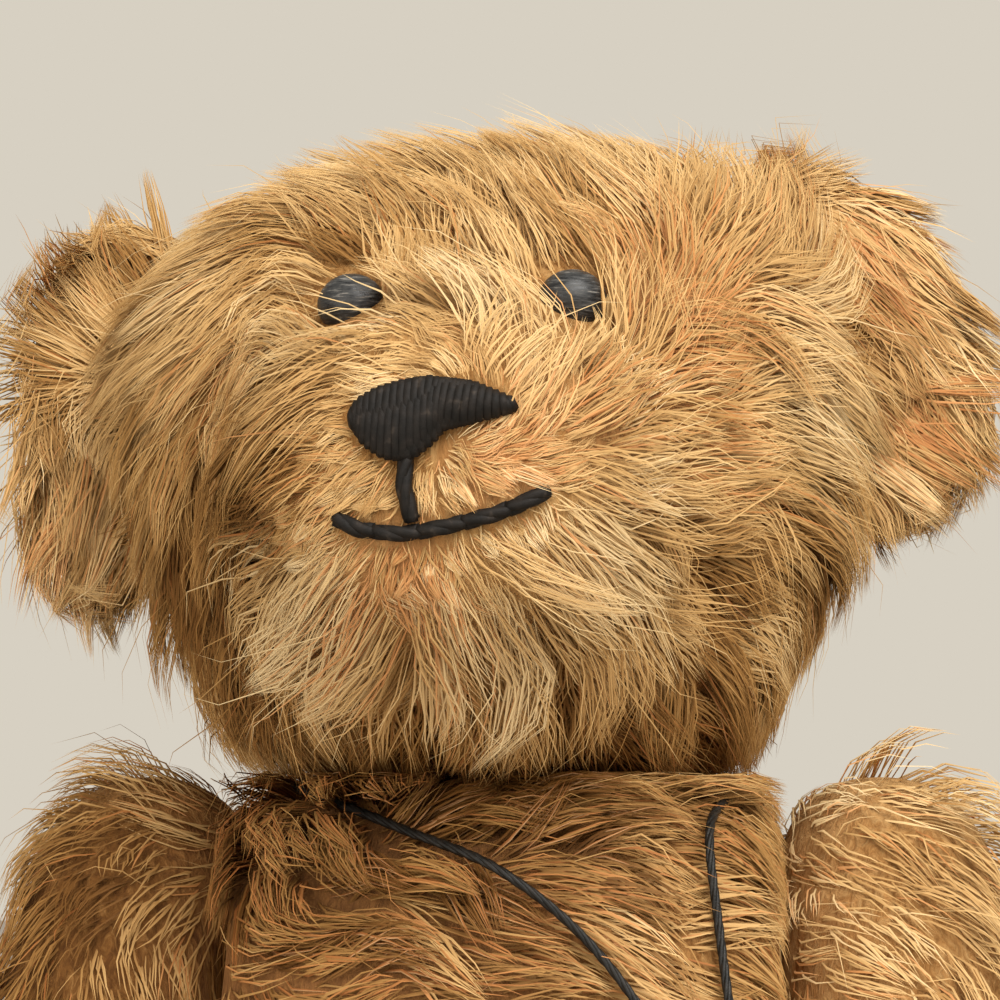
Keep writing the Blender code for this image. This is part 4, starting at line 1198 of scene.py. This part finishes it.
rings = [
    ((0, y + BODY_AXIS_Y, z), (wide, 0, 0), (0, -deep, 0), boxiness, 0.0)
    for z, y, wide, deep, boxiness in TORSO_SECTIONS
]
torso_cloth = stuffed_form("torso_cloth", rings, 3)
side_limit = SIDE_PLANE - GAP / 2
for vert in torso_cloth.vertices:
    vert.co.x = min(max(vert.co.x, -side_limit), side_limit)
    vert.co.z = min(max(vert.co.z, 0), NECK_HEIGHT - GAP / 2)
torso = piece("torso_cloth", torso_cloth, backing, "torso", "mohair", "torso")


def torso_lie(points):
    """Down the body, and outwards over the chest."""
    ways = np.tile((0.0, 0.15, -1.0), (len(points), 1))
    ways[:, 0] = 0.35 * np.sign(points[:, 0]) * smooth_step(points[:, 2], 0.070, 0.130)
    return ways


def torso_coat(points):
    x, y, z = points.T
    seat = smooth_step(z, 0.004, 0.012)
    neck = smooth_step(NECK_HEIGHT - z, 0.0, 0.0010)
    side = smooth_step(SIDE_PLANE - abs(x), 0.0, 0.0012)
    chest = smooth_step(z, 0.085, 0.100) * (y < BODY_AXIS_Y)
    shoulder = smooth_step(z, 0.126, 0.138)
    cover = seat * neck * side * (1 + 2.2 * shoulder)
    length = 0.0090 + 0.0020 * chest
    loft = 0.0024 + (0.0014 + 0.0032 * smooth_step(-x, 0.004, 0.012)) * shoulder
    # Painted shade and light: the chest and shoulders are painted darker, as shade under the head,
    # and the chest's left half lighter, on the side the lamp lights.
    left_chest = smooth_step(x, 0.002, 0.016)
    tone = 0.43 - 0.19 * chest + 0.22 * left_chest * chest - 0.13 * shoulder
    rust = 0.10 + 0.20 * chest * (1 - left_chest)
    return cover, length, loft, 0.00085 - 0.00048 * chest, tone, rust


def on_chest(points):
    _, y, z = points.T
    return smooth_step(z, 0.086, 0.100) * (1 - smooth_step(y, 0.010, BODY_AXIS_Y))


def off_chest(points):
    return 1 - on_chest(points)


def under_cord(laid):
    """Clips the locks that would bury the cord in front, and leaves out those that still do."""
    x, y, z = cord_path.T
    front = cord_path[(y < 0.0075) & ((z < CORD_SHOWS) | (x > 0))]
    tree = KDTree(len(front))
    for index, (x, _, z) in enumerate(front):
        tree.insert((x, 0, z), index)
    tree.balance()

    def burying(paths):
        halfway = 0.5 * (paths[:, 1:] + paths[:, :-1])
        over = np.zeros(len(paths), dtype=bool)
        for points in (*np.moveaxis(paths, 1, 0)[1:], *np.moveaxis(halfway, 1, 0)):
            for index, (x, y, z) in enumerate(points):
                _, found, apart = tree.find((x, 0, z))
                if apart < 0.0010 and y < front[found][1] + 0.0004:
                    over[index] = True
        return over

    paths, outs, widths, columns = laid
    roots = paths[:, :1]
    clipped = np.where(burying(paths)[:, None, None], roots + (paths - roots) * 0.45, paths)
    stay = ~burying(clipped)
    return clipped[stay], outs[stay], widths[stay], columns[stay]


def inside_torso(laid, seed):
    """Keeps the body's pile clear of the head above it and of the limbs at its sides."""
    laid = held_back(laid, 2, 1, NECK_HEIGHT + MINGLING, seed, MINGLING)
    laid = held_back(laid, 0, 1, SIDE_PLANE + MINGLING, seed + 1, MINGLING)
    return held_back(laid, 0, -1, SIDE_PLANE + MINGLING, seed + 2, MINGLING)


combing = comb_field(TORSO_STROKES, torso_lie)
chest_coat = only(torso_coat, on_chest)
chest_laid = lay_pile(torso_cloth, combing, chest_coat, count=5600, steps=3, seed=133)
add_pile("chest_pile", under_cord(inside_torso(chest_laid, 134)), "torso")
rest_coat = only(torso_coat, off_chest)
torso_laid = lay_pile(torso_cloth, combing, rest_coat, count=5000, steps=2, seed=132, clump=10)
add_pile("torso_pile", inside_torso(torso_laid, 137), "torso")

# Arms and legs.
# Stuffed limbs of the same cloth, made in mirrored pairs, that turn on flat inner sides. Their pile
# has been worn short by handling.
SHOULDER_HEIGHT = 0.1220
HIP_HEIGHT = 0.0200
ARM_REST_ANGLE = math.radians(30)
LEG_REST_ANGLE = math.radians(90)
PALM_INSET = 0.0085
SOLE_DROP = 0.1040
ARM_SECTIONS = (  # distance below the joint, middle's x and y, half-width, half-depth
    (-0.0200, 0.0120, 0.0000, 0.0090, 0.0110),
    (-0.0140, 0.0130, 0.0000, 0.0150, 0.0180),
    (0.0020, 0.0140, 0.0000, 0.0170, 0.0205),
    (0.0220, 0.0155, -0.0010, 0.0155, 0.0175),
    (0.0400, 0.0175, -0.0020, 0.0140, 0.0150),
    (0.0550, 0.0195, -0.0035, 0.0150, 0.0165),
    (0.0680, 0.0205, -0.0060, 0.0140, 0.0160),
    (0.0740, 0.0205, -0.0070, 0.0080, 0.0090),
)
LEG_SECTIONS = (
    (-0.0200, 0.0160, 0.0010, 0.0100, 0.0110),
    (-0.0140, 0.0170, 0.0010, 0.0180, 0.0190),
    (0.0060, 0.0180, 0.0000, 0.0205, 0.0215),
    (0.0320, 0.0180, 0.0020, 0.0190, 0.0195),
    (0.0580, 0.0180, 0.0050, 0.0160, 0.0160),
    (0.0780, 0.0180, 0.0050, 0.0155, 0.0155),
    (0.0900, 0.0180, -0.0080, 0.0175, 0.0270),
    (0.1050, 0.0180, -0.0130, 0.0190, 0.0330),
    (0.1120, 0.0180, -0.0130, 0.0150, 0.0280),
)
# Painted shade: the right arm, in the head's shadow, is painted far darker than the left.
ARM_TONES_WITH_PAINTED_SHADE = {"right": 0.27, "left": 0.62}
LEG_COAT = (0.0080, 0.0024, 0.00080, 0.55, 0.10)  # length, loft, width, tone and rust
LIMB_STROKES = {
    "arm_right": (
        (-43, 22, 138, -96, 22, 14),
        (-51, 23, 140, -86, -2, -51),
        (-45, 15, 131, -87, -28, -41),
        (-41, 16, 130, -95, -27, 17),
        (-54, 16, 128, -8, -48, -87),
        (-44, 13, 126, 50, -22, -83),
        (-39, 20, 133, 21, -36, -91),
    ),
    "arm_left": (
        (38, 30, 141, 94, 9, -33),
        (38, 29, 140, 76, -63, -14),
        (38, 21, 133, 99, -16, 1),
        (41, 14, 128, 98, 12, -18),
        (41, 14, 126, 38, -51, -77),
        (35, 24, 133, 11, -69, -71),
    ),
}


def limb_frame(side, height, rest_angle):
    place = Matrix.Translation((side * SIDE_PLANE, BODY_AXIS_Y, height))
    return place @ Matrix.Rotation(-rest_angle, 4, "X")


def flatten_arm(co, side):
    inner = GAP / 2 + (PALM_INSET - GAP / 2) * float(smooth_step(-co.z, 0.036, 0.043))
    co.x = side * max(side * co.x, inner)


def flatten_leg(co, side):
    co.x = side * max(side * co.x, GAP / 2)
    co.y = min(co.y, HIP_HEIGHT)
    co.z = max(co.z, -SOLE_DROP)


for kind, sections, height, rest_angle, flatten, count, steps, clump in (
    ("arm", ARM_SECTIONS, SHOULDER_HEIGHT, ARM_REST_ANGLE, flatten_arm, 2950, 3, 24),
    ("leg", LEG_SECTIONS, HIP_HEIGHT, LEG_REST_ANGLE, flatten_leg, 2600, 2, 10),
):
    for label, side in SIDES:
        name = f"{kind}_{label}"
        rings = [
            ((side * x, y, -down), (wide, 0, 0), (0, -deep, 0), 2.0, 0.0)
            for down, x, y, wide, deep in sections
        ]
        cloth = stuffed_form(f"{name}_cloth", rings, 3)
        for vert in cloth.vertices:
            flatten(vert.co, side)
        place = limb_frame(side, height, rest_angle)
        cloth.transform(place)
        limb = piece(f"{name}_cloth", cloth, backing, name, "mohair", name)
        inverse = np.array(place.inverted())

        def limb_coat(points):
            x, y, z = (points @ inverse[:3, :3].T + inverse[:3, 3]).T
            cover = smooth_step(side * x, 0.0002, 0.0010)
            if kind == "leg":
                cover = cover * smooth_step(HIP_HEIGHT - y, -0.0005, 0.0040)
                cover *= smooth_step(z + SOLE_DROP, 0.001, 0.004)
                return cover, *(np.full(len(x), value) for value in LEG_COAT)
            palm = (z < -0.040) & (side * x < PALM_INSET + 0.0008)
            upper = smooth_step(z, -0.045, -0.025)
            cover = cover * np.where(palm, 0, 1) * (0.22 + 0.78 * upper)
            inner = 1 - smooth_step(side * x, 0.004, 0.014)
            top = smooth_step(z, 0.004, 0.014)
            length = 0.0095 * (1 - 0.20 * top)
            loft = 0.0022 - 0.0010 * inner * upper + 0.0020 * top * (1 - inner)
            # Painted light: the tops of the arms are painted lighter.
            tone = ARM_TONES_WITH_PAINTED_SHADE[label] + 0.06 * inner + 0.18 * top
            return cover, length, loft, 0.00054 - 0.00018 * upper, tone, 0.06 + 0.12 * inner

        def limb_lie(points):
            way = place.to_3x3() @ Vector((0.15 * side, 0.10, -1))
            return np.tile(way, (len(points), 1))

        combing = comb_field(LIMB_STROKES.get(name, ((0, 0, 900, 0, 0, 0),)), limb_lie)
        laid = lay_pile(cloth, combing, limb_coat, count, steps, 144 + side, clump)
        laid = held_back(laid, 0, -side, MINGLING - SIDE_PLANE, 151 + side, MINGLING)
        add_pile(f"{name}_pile", laid, name)

# Paw and foot pads.
# Ovals of cream wool felt, cut by hand, with rounded and dirty edges. Each is held by a row of
# overcast stitches in brown cotton.
PAD_THICKNESS = 0.0014
PALM_CENTRE = (-0.0050, -0.0600)
PAW_PAD = (0.0085, 0.0105)
SOLE_CENTRE = (0.0180, -0.0120)
SOLE_PAD = (0.0270, 0.0145)
STITCH_SPACING = 0.0026
STITCH_DIAMETER = 0.0006
STITCH_ROUTE = (  # distance in from the edge, height
    *((0.00005, 0.0003), (0.00020, 0.0011), (0.0008, 0.0017)),
    *((0.0016, 0.0016), (0.0022, 0.0011)),
)

soiled = ((0.30, (0.26, 0.16, 0.08)), (0.50, (0.46, 0.33, 0.19)), (0.75, (0.58, 0.45, 0.29)))
felt = fibrous("cream wool felt", 0.95, 0.15, (180.0, 1600.0, 0.0004), soiled)
stops = ((0.35, (0.045, 0.022, 0.010)), (0.75, (0.14, 0.080, 0.040)))
brown = fibrous("brown cotton thread", 0.7, 0.5, (900.0, 5000.0, 0.0001), stops)


def sewn_pad(name, half_axes, body, place, node):
    """A felt oval with rounded edges, its outer face towards +Z of its place, and its stitches."""
    long, wide = half_axes
    bm = bmesh.new()
    bmesh.ops.create_circle(bm, cap_ends=True, radius=1.0, segments=48)
    bmesh.ops.scale(bm, vec=(wide, long, 1), verts=bm.verts)
    grown = bmesh.ops.extrude_face_region(bm, geom=bm.faces[:])
    raised = [item for item in grown["geom"] if isinstance(item, bmesh.types.BMVert)]
    bmesh.ops.translate(bm, vec=(0, 0, PAD_THICKNESS), verts=raised)
    rim = [edge for edge in bm.edges if all(vert.co.z > PAD_THICKNESS / 2 for vert in edge.verts)]
    bevel = {"offset": 0.0007, "segments": 4, "profile": 0.5, "affect": "EDGES", "material": -1}
    bmesh.ops.bevel(bm, geom=rim, **bevel)
    bmesh.ops.triangulate(bm, faces=bm.faces)
    bmesh.ops.recalc_face_normals(bm, faces=bm.faces)
    mesh = settled_mesh(name, bm)
    mesh.transform(place)
    mesh.shade_smooth()
    pad = piece(name, mesh, felt, body, "felt", node)
    angles = np.linspace(0, 2 * math.pi, 721)
    edge = np.column_stack([wide * np.cos(angles), long * np.sin(angles)])
    run = np.concatenate([[0], np.cumsum(np.linalg.norm(np.diff(edge, axis=0), axis=1))])
    routes = []
    for start in np.arange(0, run[-1] - STITCH_SPACING / 2, STITCH_SPACING):
        angle = np.interp(start + 0.0006 * math.sin(start * 4000), run, angles)
        route = []
        for inwards, rise in STITCH_ROUTE:
            slant = angle + inwards * 0.30 / wide
            x, y = math.cos(slant) * (wide - inwards), math.sin(slant) * (long - inwards)
            route.append(place @ Vector((x, y, rise)))
        routes.append(np.array(route))
    stitches = laid_thread(f"{name}_stitches", routes, STITCH_DIAMETER, 2, 0.0020, fatness=1.2)
    piece(f"{name}_stitches", stitches, brown, body, "black_thread")


for label, side in SIDES:
    palm = Vector((side * (PALM_INSET - GAP), *PALM_CENTRE))
    turn = Matrix.Rotation(-side * math.pi / 2, 4, "Y")
    place = limb_frame(side, SHOULDER_HEIGHT, ARM_REST_ANGLE) @ Matrix.Translation(palm) @ turn
    sewn_pad(f"paw_felt_{label}", PAW_PAD, f"arm_{label}", place, f"paw_pad_{label}")
    sole = Vector((side * SOLE_CENTRE[0], SOLE_CENTRE[1], -SOLE_DROP - GAP))
    place = limb_frame(side, HIP_HEIGHT, LEG_REST_ANGLE) @ Matrix.Translation(sole)
    place = place @ Matrix.Rotation(math.pi, 4, "X")
    sewn_pad(f"sole_felt_{label}", SOLE_PAD, f"leg_{label}", place, f"foot_pad_{label}")

# Joint sets.
# Two hardboard discs, two steel washers and a bolt with a lock nut at the neck and at each limb,
# shut inside the stuffing. The bolt is tight enough for each joint to stay where it is put.
board, tree, shader = new_finish("pressed hardboard", 0.75)
chips = {"Vector": object_places(tree), "Scale": 900.0}
chips = add_node(tree, "ShaderNodeTexVoronoi", chips).outputs["Distance"]
tone = colour_ramp(tree, chips, ((0.1, (0.11, 0.060, 0.028)), (0.6, (0.22, 0.130, 0.065))))
bump = add_node(tree, "ShaderNodeBump", {"Height": chips, "Strength": 0.3, "Distance": 0.0002})
feed(tree, shader, {"Base Color": tone, "Normal": bump.outputs["Normal"]})

steel, tree, shader = new_finish("zinc plated steel", 0.4)
spangle = {"Vector": object_places(tree), "Scale": 700.0, "Detail": 4.0}
spangle = add_node(tree, "ShaderNodeTexNoise", spangle).outputs["Fac"]
tone = colour_ramp(tree, spangle, ((0.3, (0.36, 0.35, 0.33)), (0.7, (0.62, 0.62, 0.60))))
rough = colour_ramp(tree, spangle, ((0.3, (0.55, 0.55, 0.55)), (0.7, (0.30, 0.30, 0.30))))
feed(tree, shader, {"Metallic": 1.0, "Base Color": tone, "Roughness": rough})

for name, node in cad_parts.items():
    if any(word in name for word in ("_disc_", "_washer_", "_bolt", "_nut")):
        node.data.materials.clear()
        node.data.materials.append(board if "_disc_" in name else steel)
